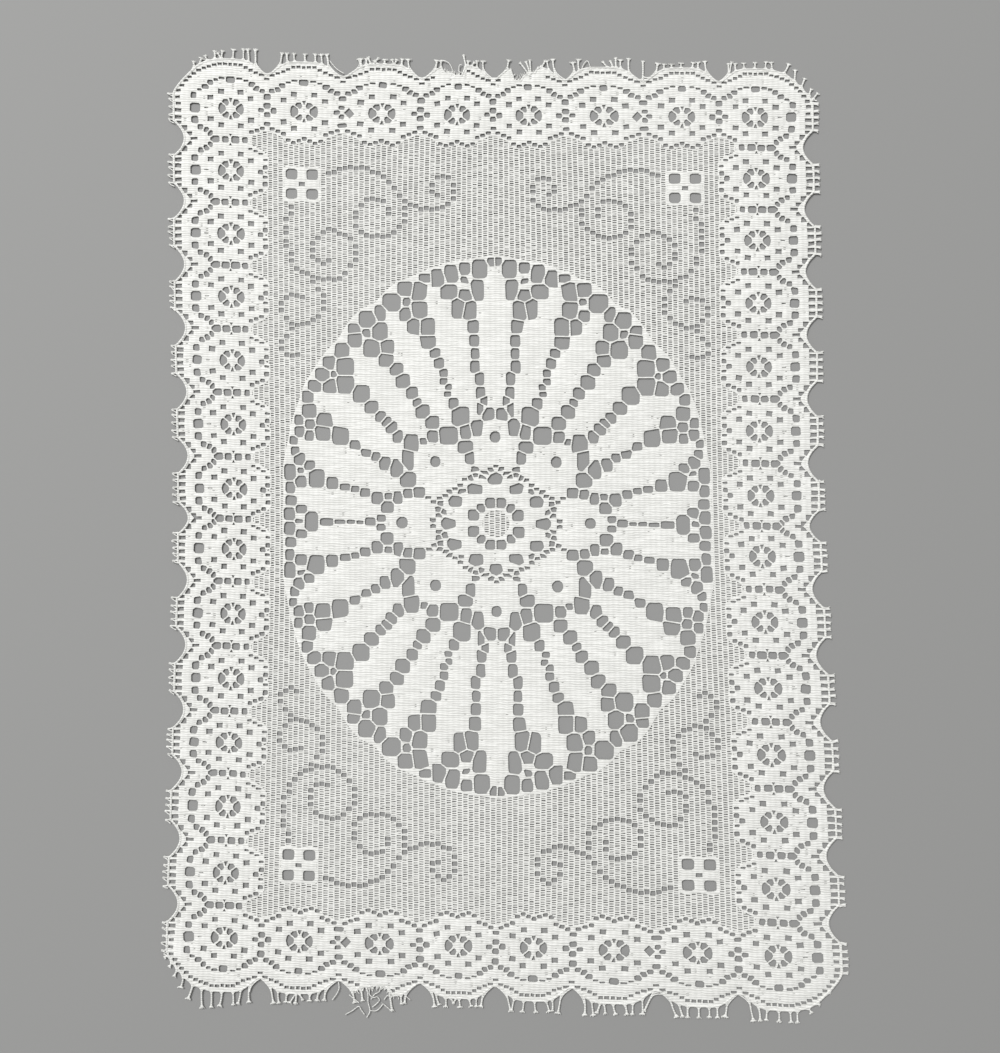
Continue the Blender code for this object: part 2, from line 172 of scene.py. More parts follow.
# the other tables have across (ribs), up (courses), width (ribs) and height (courses), from the knot; CROSS,
# DIAMOND, MEETING and the valleys are from the middle between two knots
SQUARES = [(1.9, 7.65, 1.12, 2.2), (3.85, 4.9, 1.12, 2.2)]
ARC = [(0, 13.0, 1.55, 2.8), (1.8, 13.75, 1.05, 0.95), (2.95, 12.95, 0.95, 0.9), (4.1, 11.4, 1.3, 2.3),
       (4.95, 9.75, 1.2, 2.2), (6.0, 8.75, 1.15, 2.0)]
CHAIN = [(0, 12.3, 0.97, 1.7), (1.0, 13.3, 0.97, 1.7), (2.0, 14.2, 0.93, 1.6), (3.05, 13.2, 0.95, 1.6),
         (3.95, 10.3, 0.97, 1.7), (5.0, 9.35, 0.97, 1.6), (6.05, 8.3, 0.97, 1.5)]
CORNER_CHAIN_FROM = 4           # a corner medallion has only the outer openings of the chain, from this on
EDGE = [(0, 20.1, 0.6, 1.35), (1.0, 20.2, 0.78, 1.35), (2.0, 20.1, 0.8, 1.35), (2.95, 19.0, 0.8, 1.3),
        (3.9, 17.8, 0.8, 1.3), (4.9, 16.9, 0.88, 1.25), (6.0, 16.0, 1.0, 1.2)]
CROSS = [(0, 6.2, 1.4, 2.8), (0, 2.0, 1.3, 2.5), (0, -2.0, 1.27, 2.45), (-1.2, 0.1, 1.15, 1.95),
         (1.25, -0.1, 1.17, 2.5), (0, -6.1, 1.2, 1.7)]
DIAMOND_GAPS = (1, 5)           # gaps between the end medallions that hold a diamond, from the left
DIAMOND = [(0, 6.3, 1.45, 2.3), (-0.2, 2.2, 1.05, 1.8), (-0.25, -1.85, 1.0, 2.2), (-1.05, 0, 1.15, 2.0),
           (-0.1, -5.7, 1.75, 2.0)]
FLANK = [(6.65, 0, 1.85, 4.2), (6.75, 5.35, 1.3, 3.1), (5.7, 8.8, 1.05, 2.3), (4.65, 9.9, 1.1, 2.5),
         (3.9, 11.5, 0.95, 2.7)]
MEETING = [(3.05, 0, 1.75, 3.2), (1.08, 0, 1.4, 3.0), (-0.86, 0, 1.55, 3.2), (-2.72, 0, 1.1, 2.8)]
NET_SIDE_ABOVE = [(-3.75, 10.3, 0.85, 1.1), (-4.75, 9.35, 0.85, 1.1), (-5.75, 8.3, 0.95, 1.0),
                  (-6.6, 5.4, 0.95, 1.1), (-6.6, 2.15, 0.95, 2.0)]
NET_SIDE_BELOW = [(-3.75, 10.3, 0.85, 1.75), (-4.75, 9.35, 0.9, 1.6), (-5.75, 8.3, 0.95, 1.6),
                  (-6.6, 5.4, 1.0, 2.0), (-6.6, 2.15, 0.9, 1.1)]
SIDE_EDGE = [(9.85, 1.5, 1.2, 1.6), (9.8, 4.5, 1.2, 1.6)]
SIDE_CUT = [(9.68, 7.1, 1.0, 1.7), (8.7, 9.4, 1.15, 2.6), (7.78, 11.95, 1.1, 1.95)]
# the shape of a side cut, out and up from its middle, where 1 is its width and height
SIDE_CUT_RIM = [(-0.5, -0.5), (0.5, -0.5), (0.25, 0.0), (-0.1, 0.5), (-0.5, 0.3)]
CORNER = [(7.0, 5.4, 1.15, 3.0), (5.85, 8.2, 0.97, 1.15), (4.75, 9.6, 1.32, 2.2), (3.8, 11.5, 1.05, 2.35),
          (2.85, 12.8, 0.93, 1.4), (1.8, 13.6, 1.1, 1.25)]
CORNER_EDGE = [(9.8, 1.5), (9.85, 4.6), (9.7, 7.5), (9.0, 9.8), (8.35, 11.9), (7.65, 13.6), (6.8, 15.2),
               (5.95, 16.8), (5.0, 17.9), (4.05, 18.8), (3.1, 19.6), (2.05, 20.2), (1.03, 20.3)]
CORNER_EDGE_SIZE = (0.9, 1.3)
NET_MIDDLE, NOTCH = (-5.65, 0, 1.05, 2.1), (4.65, 0, 0.8, 0.35)
# the one opening where two scallops meet, at the sides and at the ends, and how far out that is (courses)
SIDE_VALLEY, END_VALLEY, END_VALLEY_OUT = (6.9, 0, 1.35, 1.35), (0, 0, 1.0, 1.1), 14.1
# where the edge is torn: end (1 is the top), number of the scallop, from and to (ribs from its middle),
# and the level of the cloth that is left there (courses)
TORN = [(1, 3, -3.2, -1.4, 19.0), (1, 3, -1.4, 1.1, 18.0), (1, 4, -3.1, -1.1, 16.0), (1, 4, -1.1, 0.3, 18.5),
        (1, 4, 0.3, 1.6, 19.6), (-1, 2, -3.6, -1.7, 18.9), (-1, 2, -1.7, 1.0, 18.2), (-1, 2, 1.0, 2.0, 19.4)]
TORN_OPENINGS = [(1, 3, -4.1, 1.4), (1, 4, -5.8, 3.2), (-1, 2, -3.6, 1.8)]    # openings lost with it
# slits between two weft threads: size (ribs, courses), and how near and how far from an opening (m)
DASH_RIBS, DASH_COURSES, DASH_CLEAR, DASH_REACH = 0.46, 0.26, 0.0006, 0.0040
DASH_LONG, DASH_HIGH = (0.7, 1.1), (0.8, 1.2)      # least and greatest, where 1 is that size
DASH_SLANT = 0.8                # height of its low right and high left corners, where 1 is the others'
PAIR_STEP = 0.85                # from a slit to the one above it (courses)
DASH_TRIES = 40                 # places looked at for each slit
BORDER_DASHES = 850
SCALLOP_STEPS = 20              # sides along the edge of an end scallop


def lay_down(points):
    """Move draft points to where the cloth lies: waisted sides, a slight skew, and a little lift.

    across and along are in millimetres, and their terms in u and v are a smooth fit to the knots.
    """
    u, v = points[:, 0] / LAID_HALF[0], points[:, 1] / LAID_HALF[1]
    knots = np.clip(u, -OUTERMOST_KNOTS, OUTERMOST_KNOTS)       # past these the cloth moves as one
    gather = np.clip(u / GATHERED_TO, -1.0, 1.0)    # the middle medallions crowd together at both ends
    across = 0.1 + 1.85 * u - 3.4 * knots ** 3 + 1.95 * u ** 2 - 1.45 * v - 0.3 * v ** 2 + 0.85 * v ** 3
    across += 4.0 * u * v ** 2 - 2.2 * u ** 2 * v - 0.9 * knots ** 3 * np.cos(tau * v)
    across -= 9.8 * gather * (1.0 - gather ** 2) ** 2 * v ** 4
    along = 0.75 * u ** 2 - 0.2 - 0.9 * u - 1.65 * knots ** 3 + 1.5 * v + 2.1 * v ** 2 - 2.1 * v ** 3
    along += 1.4 * u * v + 0.95 * u ** 2 * v - 2.3 * u * v ** 2
    stretched = np.clip(-u - 0.55, 0.0, 0.3) * np.clip(-v - 0.88, 0.0, 0.12)    # the bottom left corner
    across -= 15.0 * stretched
    along -= 24.0 * stretched
    left = np.clip(-5.0 * u - 3.1, 0.0, 1.0)    # the left side alone was pulled about a little
    across -= 0.6 * left * np.exp(-((v + 0.78) / 0.12) ** 2)
    along += 1.25 * left * np.exp(-((v + 0.565) / 0.08) ** 2)
    lift = LIFT * (2 + np.sin(5.1 * u + 1.3 * v + 0.4) + np.sin(6.3 * v - 2.2 * u))
    return points + np.column_stack((0.001 * across, 0.001 * along, lift))


def lay_piece(name, points, faces, material):
    """A mesh object from draft points and faces, laid flat; its draft is kept as a UV map."""
    mesh = bpy.data.meshes.new(name)
    mesh.from_pydata(lay_down(points).tolist(), [], faces)
    corners = np.zeros(len(mesh.loops), np.int32)
    mesh.loops.foreach_get("vertex_index", corners)
    draft = mesh.uv_layers.new(name="draft")
    draft.data.foreach_set("uv", (points[corners, :2] / (RIB, COURSE)).astype(np.float32).ravel())
    mesh.shade_smooth()
    mesh.set_sharp_from_angle(angle=radians(SHARP_FROM))
    mesh.materials.append(material)
    piece = bpy.data.objects.new(name, mesh)
    bpy.context.scene.collection.objects.link(piece)
    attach(piece, "root")
    return piece


class Shade:
    """A socket of a material's node tree; Python's operators on it add Math nodes."""

    def __init__(self, tree, socket=None):
        self.tree, self.socket = tree, socket

    def node(self, kind, settings=None, inputs=None, output=0):
        made = self.tree.nodes.new(kind)
        for name, value in (settings or {}).items():
            setattr(made, name, value)
        for name, value in (inputs or {}).items():
            if isinstance(value, Shade):
                self.tree.links.new(value.socket, made.inputs[name])
            else:
                made.inputs[name].default_value = value
        return Shade(self.tree, made.outputs[output])

    def math(self, operation, *values):
        return self.node("ShaderNodeMath", {"operation": operation}, dict(enumerate(values)))

    def __add__(self, other):
        return self.math("ADD", self, other)

    __radd__ = __add__

    def __sub__(self, other):
        return self.math("SUBTRACT", self, other)

    def __rsub__(self, other):
        return self.math("SUBTRACT", other, self)

    def __mul__(self, other):
        return self.math("MULTIPLY", self, other)

    __rmul__ = __mul__


def cotton(name, light, shade, weft_share, bump_depth):
    """Bleached cotton: weft and warp lines painted as light and shade on its threads, painted shade in groove
    lines at worn and thin places, soft fuzz.
    """
    material = bpy.data.materials.new(name)
    material.use_nodes = True
    surface = material.node_tree.nodes["Principled BSDF"]
    start = Shade(material.node_tree)
    draft = start.node("ShaderNodeUVMap", {"uv_map": "draft"})
    ribs = start.node("ShaderNodeSeparateXYZ", None, {0: draft})
    courses = start.node("ShaderNodeSeparateXYZ", None, {0: draft}, output=1)
    places = start.node("ShaderNodeTexCoord", output=3)
    drawn_out = start.node("ShaderNodeVectorMath", {"operation": "MULTIPLY"}, {0: draft, 1: YARN_STREAKS})
    tangle = start.node("ShaderNodeTexNoise", None, {"Vector": places, "Scale": TANGLE_GRAIN, "Detail": 1.0})
    weft = start.math("SINE", (courses + tangle * WEFT_WAVER) * tau)
    slack = start.node("ShaderNodeVectorMath", {"operation": "MULTIPLY"}, {0: draft, 1: SLACK_STREAKS})
    streaks = start.node("ShaderNodeTexNoise", None, {"Vector": slack, "Scale": 1.0, "Detail": 2.0})
    open_places = start.math("SMOOTH_MAX", (streaks - OPEN_FROM) * OPEN_SHARP, 0.0, OPEN_SOFT)
    # painted shade: the groove lines between the wefts of the thin places
    painted_groove_shade = start.math("POWER", 0.5 - weft * 0.5, GROOVE_NARROW) * open_places
    warp = start.math("COSINE", ribs * tau)
    yarn = start.node("ShaderNodeTexNoise", None, {"Vector": drawn_out, "Scale": YARN_GRAIN, "Detail": 3.0})
    fuzz = start.node("ShaderNodeTexNoise", None, {"Vector": places, "Scale": FUZZ_GRAIN, "Detail": 2.0})
    cloudy = start.node("ShaderNodeTexNoise", None, {"Vector": places, "Scale": CLOUD_GRAIN, "Detail": 3.0})
    # the weft and warp lines are painted light on the threads and painted shade between them, the groove
    # lines painted shade; yarn, clouds and fuzz are the cotton's own tone
    tone = weft * (WEFT_SHADING_TONE * weft_share) + warp * WARP_SHADING_TONE + yarn * YARN_TONE
    tone = tone + cloudy * CLOUD_TONE + fuzz * FUZZ_TONE - DARKENED - painted_groove_shade * (GROOVE_SHADE_TONE * weft_share)
    colour = start.node("ShaderNodeMix", {"data_type": "RGBA"},
                        {0: tone, 6: (*shade, 1.0), 7: (*light, 1.0)}, output=2)
    height = weft * (WEFT_RISE * weft_share) + warp * WARP_RISE + yarn * YARN_RISE + fuzz * FUZZ_RISE
    bump = start.node("ShaderNodeBump", None,
                      {"Strength": BUMP_STRENGTH, "Distance": bump_depth, "Height": height})
    links = material.node_tree.links
    links.new(colour.socket, surface.inputs["Base Color"])
    links.new(bump.socket, surface.inputs["Normal"])
    links.new((ROUGHEST - tone * LESS_ROUGH).socket, surface.inputs["Roughness"])
    surface.inputs["Specular IOR Level"].default_value = COTTON_SPECULAR
    surface.inputs["Sheen Weight"].default_value = COTTON_SHEEN
    surface.inputs["Sheen Roughness"].default_value = SHEEN_ROUGHNESS
    return material


def four_quarters(quarter, middle=(0, 0)):
    """A closed outline, clockwise: its upper right quarter about a middle, mirrored to the other three.

    The quarter and the middle are in ribs and courses, and the outline is in metres.
    """
    beyond = [(x, y) for x, y in quarter if x > 1e-9]
    lower = [(x, -y) for x, y in reversed(quarter) if y > 1e-9]
    lower_left = [(-x, -y) for x, y in beyond if y > 1e-9]
    whole = [(-x, y) for x, y in reversed(beyond)] + quarter + lower + lower_left
    return [((middle[0] + x) * RIB, (middle[1] + y) * COURSE) for x, y in whole]


def within(outline, x, y):
    """Which of the points lie inside an outline, by the even-odd rule."""
    found = np.zeros(x.shape, bool)
    for (x0, y0), (x1, y1) in zip(outline, outline[1:] + outline[:1]):
        if y0 != y1:
            found ^= ((y0 > y) != (y1 > y)) & (x < x0 + (y - y0) / (y1 - y0) * (x1 - x0))
    return found


class Opening(NamedTuple):
    """One opening of the lace: centre and size in metres, tilt in radians, roundness as a power."""
    x: float
    y: float
    width: float
    height: float
    tilt: float
    power: float


def on_grid(ribs, courses, width, height, tilt, power):
    return Opening(ribs * RIB, courses * COURSE, width * RIB, height * COURSE, tilt, power)


def rim(item, corners):
    """The rim of an opening before its neighbours press on it, anticlockwise, a little uneven."""
    if item.power == DRAWN_IN:
        across, up = np.array(DRAWN_IN_RIM, float).T
    else:
        angles = tau * (np.arange(corners) + 0.5) / corners
        across, up = np.cos(angles), np.sin(angles)
        across = np.sign(across) * np.abs(across) ** (2 / item.power)
        up = np.sign(up) * np.abs(up) ** (2 / item.power)
    across = across * item.width / 2 + chance.normal(0, UNEVEN_RIM, len(across))
    up = up * item.height / 2 + chance.normal(0, UNEVEN_RIM, len(up))
    turn_x, turn_y = cos(item.tilt), sin(item.tilt)
    return [(item.x + a * turn_x - u * turn_y, item.y + a * turn_y + u * turn_x) for a, u in zip(across, up)]


def cut_back(points, way, reach):
    """Keep what lies no further than reach in one direction."""
    depths = [x * way[0] + y * way[1] - reach for x, y in points]
    kept = []
    for index, point in enumerate(points):
        last, last_depth, depth = points[index - 1], depths[index - 1], depths[index]
        if (last_depth < 0) != (depth < 0):
            share = last_depth / (last_depth - depth)
            kept.append((last[0] + share * (point[0] - last[0]), last[1] + share * (point[1] - last[1])))
        if depth < 0:
            kept.append(point)
    return kept


def without_short_sides(points, shortest):
    kept = []
    for point in points:
        if not kept or hypot(point[0] - kept[-1][0], point[1] - kept[-1][1]) > shortest:
            kept.append(point)
    while len(kept) > 3 and hypot(kept[0][0] - kept[-1][0], kept[0][1] - kept[-1][1]) < shortest:
        kept.pop()
    return kept


def point_tree(points):
    """A tree that finds which of these flat points are near to another."""
    tree = KDTree(len(points))
    for index, (x, y) in enumerate(points):
        tree.insert((x, y, 0.0), index)
    tree.balance()
    return tree


def rims(openings, corners, thread, pull):
    """The rims of all openings, parted by single threads.

    Where less than pull of cloth would be left between two openings, both rims are drawn towards each
    other and pressed flat there, so that only a straight thread stays.
    """
    tree = point_tree([(item.x, item.y) for item in openings])
    reach_out = NEIGHBOUR_REACH * max(max(item.width, item.height) for item in openings)
    drawn = [np.array(rim(item, corners)) for item in openings]
    found = []
    for index, item in enumerate(openings):
        centre = np.array((item.x, item.y))
        points, cuts = drawn[index] - centre, []
        for (x, y, _), other_index, distance in tree.find_range((item.x, item.y, 0.0), reach_out):
            if other_index == index or distance < 1e-6:
                continue
            way = (np.array((x, y)) - centre) / distance
            own = (points @ way).max()
            theirs = ((drawn[other_index] - (x, y)) @ -way).max()
            gap = distance - own - theirs
            if gap > pull:
                continue
            cuts.append((way, own + gap / 2 - thread / 2))
        for way, reach in cuts:
            along = points @ way
            leaning = (along / np.hypot(*points.T)).clip(0.0, 1.0) ** 3
            room = max(reach - (drawn[index] - centre).dot(way).max(), 0.0)
            points = points + way * (RIM_STRETCH * room * leaning)[:, None]
        points = [tuple(point) for point in points]
        for way, reach in cuts:
            points = cut_back(points, way, reach)
        points = without_short_sides(points, SHORTEST_SIDE)
        if len(points) > 2:
            found.append([(item.x + x, item.y + y) for x, y in points])
    return found


def signed_area(ring):
    return sum(ring[i - 1][0] * ring[i][1] - ring[i][0] * ring[i - 1][1] for i in range(len(ring))) / 2


def ring_area(ring):
    return abs(signed_area(ring))


def anticlockwise(ring):
    return ring if signed_area(ring) > 0 else ring[::-1]


def filled(rings, loose):
    """Triangles between the first ring and the others, through the loose points; points and faces."""
    flat, loops = [], []
    for ring in rings:
        loops.append(list(range(len(flat), len(flat) + len(ring))))
        flat += ring
    points, _, triangles, _, _, owners = delaunay_2d_cdt(flat + loose, [], loops, 1, 1e-9)
    kept = np.array([triangle for triangle, owner in zip(triangles, owners) if owner == [0]])
    used, kept = np.unique(kept, return_inverse=True)
    return np.array([tuple(points[i]) for i in used]), kept.reshape(-1, 3)


def walked(ring, step):
    """Points all the way round a ring, no more than a step apart."""
    ends = np.array(ring)
    starts = np.roll(ends, 1, axis=0)
    counts = np.ceil(np.hypot(*(ends - starts).T) / step).astype(int).clip(1)
    return np.vstack([a + (b - a) * (np.arange(n) / n)[:, None] for a, b, n in zip(starts, ends, counts)])


def cut_cloth(name, rings, material):
    """Lace cloth with rounded threads: thin at its openings, thicker and ribbed in its solid parts.

    The first ring is the outline and the rest are openings.
    """
    rings = [anticlockwise([tuple(point) for point in ring]) for ring in rings]
    tree = point_tree(np.vstack([walked(ring, RIM_STEP) for ring in rings]))

    outline = np.array(rings[0])
    low, high = outline.min(0), outline.max(0)
    step_across, step_up = GRAIN[0] * RIB, GRAIN[1] * COURSE
    xs = np.arange(np.ceil(low[0] / step_across), high[0] / step_across) * step_across
    ys = np.arange(np.ceil(low[1] / step_up), high[1] / step_up) * step_up
    grid_x, grid_y = (axis.ravel() for axis in np.meshgrid(xs, ys))
    grid_y = grid_y + (np.round(grid_x / step_across) % 2) * 0.5 * step_up
    inside = within([tuple(point) for point in outline], grid_x, grid_y)
    loose = [(x, y) for x, y in zip(grid_x[inside], grid_y[inside]) if tree.find((x, y, 0.0))[2] > RIM_STEP]

    top, faces = filled(rings, loose)
    distance = np.array([tree.find((x, y, 0.0))[2] for x, y in top])
    swell = np.clip(distance / FULL_THICK_AT, 0.0, 1.0)
    thick = THREAD_THICK + (CLOTH_THICK - THREAD_THICK) * swell * (2 - swell)
    relief = RIB_RELIEF * np.cos(top[:, 0] / RIB * tau)
    relief += chance.uniform(-UNEVEN_RELIEF, UNEVEN_RELIEF, len(top))
    thick += np.where(distance > RELIEF_FROM, relief, 0.0)
    under, under_faces = filled(rings, [])

    halves = faces[:, [0, 1, 1, 2, 2, 0]].reshape(-1, 2)
    size = len(top)
    forward, backward = halves[:, 0] * size + halves[:, 1], halves[:, 1] * size + halves[:, 0]
    edge = halves[~np.isin(forward, backward)]
    along = top[edge[:, 1]] - top[edge[:, 0]]
    outward = np.column_stack((along[:, 1], -along[:, 0])) / np.hypot(*along.T)[:, None]
    normals = np.zeros((size, 2))
    np.add.at(normals, edge[:, 0], outward)
    np.add.at(normals, edge[:, 1], outward)
    on_edge = np.unique(edge)
    lengths = np.hypot(*normals[on_edge].T)[:, None].clip(1e-9)
    middle = top[on_edge] + normals[on_edge] / lengths * THREAD_BULGE

    nearest = point_tree(under)
    middle_of, under_of = np.zeros(size, int), np.zeros(size, int)
    middle_of[on_edge] = size + np.arange(len(on_edge))
    under_start = size + len(on_edge)
    for index in on_edge:
        under_of[index] = under_start + nearest.find((*top[index], 0.0))[1]
    points = np.vstack((np.column_stack((top, CLOTH_BASE + thick)),
                        np.column_stack((middle, np.full(len(middle), CLOTH_BASE + THREAD_THICK / 2))),
                        np.column_stack((under, np.full(len(under), CLOTH_BASE)))))
    i, j = edge.T
    walls = np.vstack((np.column_stack((j, i, middle_of[i], middle_of[j])),
                       np.column_stack((middle_of[j], middle_of[i], under_of[i], under_of[j]))))
    all_faces = faces.tolist() + walls.tolist() + (under_faces[:, ::-1] + under_start).tolist()
    return lay_piece(name, points, all_faces, material)


def inner_quarter():
    """Where the border gives way to the net, in ribs and courses, from the top's middle to the right's."""
    # across from the medallion's centre (ribs), in from it (courses)
    foot = [(0, 13.7), (1.05, 14.7), (2.05, 15.55), (3.2, 14.5), (4.25, 11.8), (5.35, 10.7), (6.4, 9.6)]
    # in from the medallion's centre (ribs), up (courses)
    flank = [(4.3, 11.6), (5.3, 10.6), (6.3, 9.4), (7.3, 6.8), (7.3, 1.0), (6.4, 0.0)]
    # where two medallions meet: in from their centres (ribs), up from one (courses), and the least level
    notch_in, notch_up, lowest = 3.7, 13.2, 0.8
    top, side = ROWS[-1], COLUMNS[-1]
    points = []
    for column in RIGHT_COLUMNS[:-1]:
        points += [(column - across, top - up) for across, up in reversed(foot)]
        points += [(column + across, top - up) for across, up in foot[1:]]
    points += [(side - across, top - up) for across, up in reversed(foot[CORNER_CHAIN_FROM:])]
    for row in reversed(UPPER_ROWS[:-1]):
        points += [(side - notch_in, row + notch_up)]
        points += [(side - across, row + up) for across, up in flank]
        points += [(side - across, row - up) for across, up in reversed(flank[:-1])]
        points += [(side - notch_in, max(row - notch_up, lowest))]
    return points


def flower(column, row):
    """The eight openings round a medallion's knot, each a little different."""
    found = []
    for shape, ways in ((FLOWER_SIDE, ((1, 1), (-1, 1))), (FLOWER_TIP, ((1, 1), (1, -1))),
                        (FLOWER_SLANT, ((1, 1), (-1, 1), (1, -1), (-1, -1)))):
        for flip_x, flip_y in ways:
            points = np.array(shape) * (flip_x, flip_y) * chance.uniform(*FLOWER_SIZES) * 0.001
            points += chance.normal(0, UNEVEN_RIM, points.shape)
            found.append(points + (column * RIB, row * COURSE))
    return found


def lost(column, across, row):
    """Whether an opening of the edge is gone with a torn scallop."""
    return any(row * end > 0 and column == COLUMNS[number] and low < across < high
               for end, number, low, high in TORN_OPENINGS)


def torn(line):
    """The edge with its torn scallops cut back."""
    found = []
    for x, y in line:
        for end, number, low, high, level in TORN:
            if y * end > ROWS[-1] * COURSE and low <= x / RIB - COLUMNS[number] <= high:
                y = min(y * end, (ROWS[-1] + level) * COURSE) * end
        found.append((x, y))
    return found


def border_openings():
    """All openings of the border but its flowers, from the tables above."""
    found = []

    def place(column, row, table, flip_x=1, flip_y=1, power=DRAWN_IN):
        for across, up, width, height in table:
            size = chance.uniform(*OPENING_SIZES)
            found.append(on_grid(column + across * flip_x + chance.normal(0, STRAY_RIBS),
                                 row + up * flip_y + chance.normal(0, STRAY_COURSES),
                                 width * size, height * size, chance.normal(0, STRAY_TURN), power))

    for column in COLUMNS:
        for row in ROWS:
            at_end, at_side = row in (ROWS[0], ROWS[-1]), column in (COLUMNS[0], COLUMNS[-1])
            if not (at_end or at_side):
                continue
            out_x, out_y = (1 if column > 0 else -1), (1 if row > 0 else -1)
            for flip_x in (1, -1):
                for flip_y in (1, -1):
                    place(column, row, SQUARES, flip_x, flip_y)
            if at_end:
                for flip in ((1, -1) if not at_side else (-out_x,)):
                    whole = 0 if flip == 1 or at_side else 1      # the middle opening is placed once
                    place(column, row, ARC[whole:], flip, out_y, ROUNDED)
                    kept = [item for item in EDGE[whole:] if not lost(column, item[0] * flip, row)]
                    place(column, row, kept, flip, out_y)
                    place(column, row, CHAIN[CORNER_CHAIN_FROM if at_side else whole:], flip, -out_y, ROUNDED)
            if at_side:
                for flip in ((1, -1) if not at_end else (-out_y,)):
                    whole = 0 if flip == 1 or at_end else 1
                    place(column, row, FLANK[whole:], out_x, flip, ROUNDED)
                    place(column, row, SIDE_EDGE, out_x, flip)
                    if not at_end:
                        table = NET_SIDE_ABOVE if flip == 1 else NET_SIDE_BELOW
                        place(column, row, table, out_x, flip, ROUNDED)
                if not at_end:
                    place(column, row, [NET_MIDDLE], out_x, 1, ROUNDED)
                place(column, row, [NOTCH], out_x)
            if at_end and at_side:
                place(column, row, CORNER, out_x, out_y, ROUNDED)
                place(column, row, [(*spot, *CORNER_EDGE_SIZE) for spot in CORNER_EDGE], out_x, out_y)
    for end in (1, -1):
        for number, column in enumerate(COLUMNS[:-1]):
            table = DIAMOND if number in DIAMOND_GAPS else CROSS
            flip = 1 if number < len(COLUMNS) / 2 else -1
            place(column + HALF_RIBS, ROWS[-1] * end, table, flip, end, ROUNDED)
            place(column + HALF_RIBS, (ROWS[-1] + END_VALLEY_OUT) * end, [END_VALLEY])
    for side in (1, -1):
        for low, high in zip(ROWS, ROWS[1:]):
            middle = (low + high) / 2
            place(COLUMNS[-1] * side, middle, MEETING, side, 1, ROUNDED)
            place(COLUMNS[-1] * side, middle, [SIDE_VALLEY], side)
    return found


def dashes(count, among, inside):
    """Slits between weft threads, in ones and twos, scattered where the cloth is solid near openings.

    among are the rims to keep clear of; inside says which of the points lie on the solid cloth.
    """
    tree = point_tree(np.vstack([walked(ring, DASH_CLEAR) for ring in among]))
    # twice the ribs and all the courses out to the edge
    far_across, far_up = int(2 * (COLUMNS[-1] + CREST_RIBS)), int(ROWS[-1] + CREST_COURSES)
    across = chance.integers(-far_across, far_across + 1, DASH_TRIES * count) / 2
    up = chance.integers(-far_up, far_up + 1, DASH_TRIES * count).astype(float)
    inside = inside(across * RIB, up * COURSE)
    found, taken = [], set()
    for place in zip(across[inside], up[inside]):
        x, y = place[0] * RIB, place[1] * COURSE
        half = chance.uniform(*DASH_LONG) * DASH_RIBS / 2 * RIB
        distance = min(tree.find((x + way * half, y, 0.0))[2] for way in (-1.0, 0.0, 1.0))
        near = any((place[0] + side, place[1]) in taken for side in (-0.5, 0.0, 0.5))
        clear = DASH_CLEAR < distance < DASH_REACH
        if near or not clear or chance.random() < (distance - DASH_CLEAR) / DASH_REACH:
            continue
        taken.add(place)
        for level in (0.0, PAIR_STEP * COURSE)[:int(chance.integers(1, 3))]:
            above = (place[0], place[1] + 1)
            if tree.find((x, y + level, 0.0))[2] < DASH_CLEAR or level and above in taken:
                continue
            if level:
                taken.add(above)
            high = chance.uniform(*DASH_HIGH) * DASH_COURSES / 2 * COURSE
            middle = y + level
            found.append([(x - half, middle - high), (x + half, middle - high * DASH_SLANT),
                          (x + half, middle + high), (x - half, middle + high * DASH_SLANT)])
        if len(found) >= count:
            break
    return found


def quarter_edge():
    """The scalloped edge in ribs and courses, from the middle of the top to the middle of the right side."""
    # the rounded corner, from its medallion's knot
    corner = [(1.5, 22.5), (2.8, 22.2), (3.9, 21.6), (5.0, 20.7), (6.0, 19.4), (6.8, 17.8), (7.5, 16.1),
              (8.2, 14.4), (8.9, 12.6), (9.8, 10.0), (10.4, 7.8)]
    points = []
    for column in RIGHT_COLUMNS:
        whole = column < COLUMNS[-1]
        steps = np.linspace(-1, 1, SCALLOP_STEPS, endpoint=False)
        for step in steps if whole else np.linspace(-1, 0, SCALLOP_STEPS // 2 + 1):
            rise = (1 + cos(pi * abs(step) ** SCALLOP_POWER)) / 2
            level = VALLEY_COURSES + (CREST_COURSES - VALLEY_COURSES) * rise
            points.append((column + step * HALF_RIBS, ROWS[-1] + level))
    points += [(COLUMNS[-1] + across, ROWS[-1] + up) for across, up in corner]
    shares = (0, 0.2, 0.4, 0.6, 0.8, 1)         # from a side crest's straight run to the valley
    for row in reversed(UPPER_ROWS):
        valley = HALF_COURSES if row > UPPER_ROWS[0] else MIDDLE_COURSES
        ups = [CREST_HALF_COURSES + share * (HALF_COURSES - CREST_HALF_COURSES) for share in shares[-2::-1]]
        ups = [CREST_HALF_COURSES] if row == ROWS[-1] else ups
        downs = [-CREST_HALF_COURSES - share * (valley - CREST_HALF_COURSES) for share in shares]
        for up in ups + [0] + downs:
            reach = HALF_COURSES if up > 0 else valley
            share = max(abs(up) - CREST_HALF_COURSES, 0) / (reach - CREST_HALF_COURSES)
            out = VALLEY_RIBS + (CREST_RIBS - VALLEY_RIBS) * (1 - share) ** 2
            points.append((COLUMNS[-1] + out, row + up))
    return points


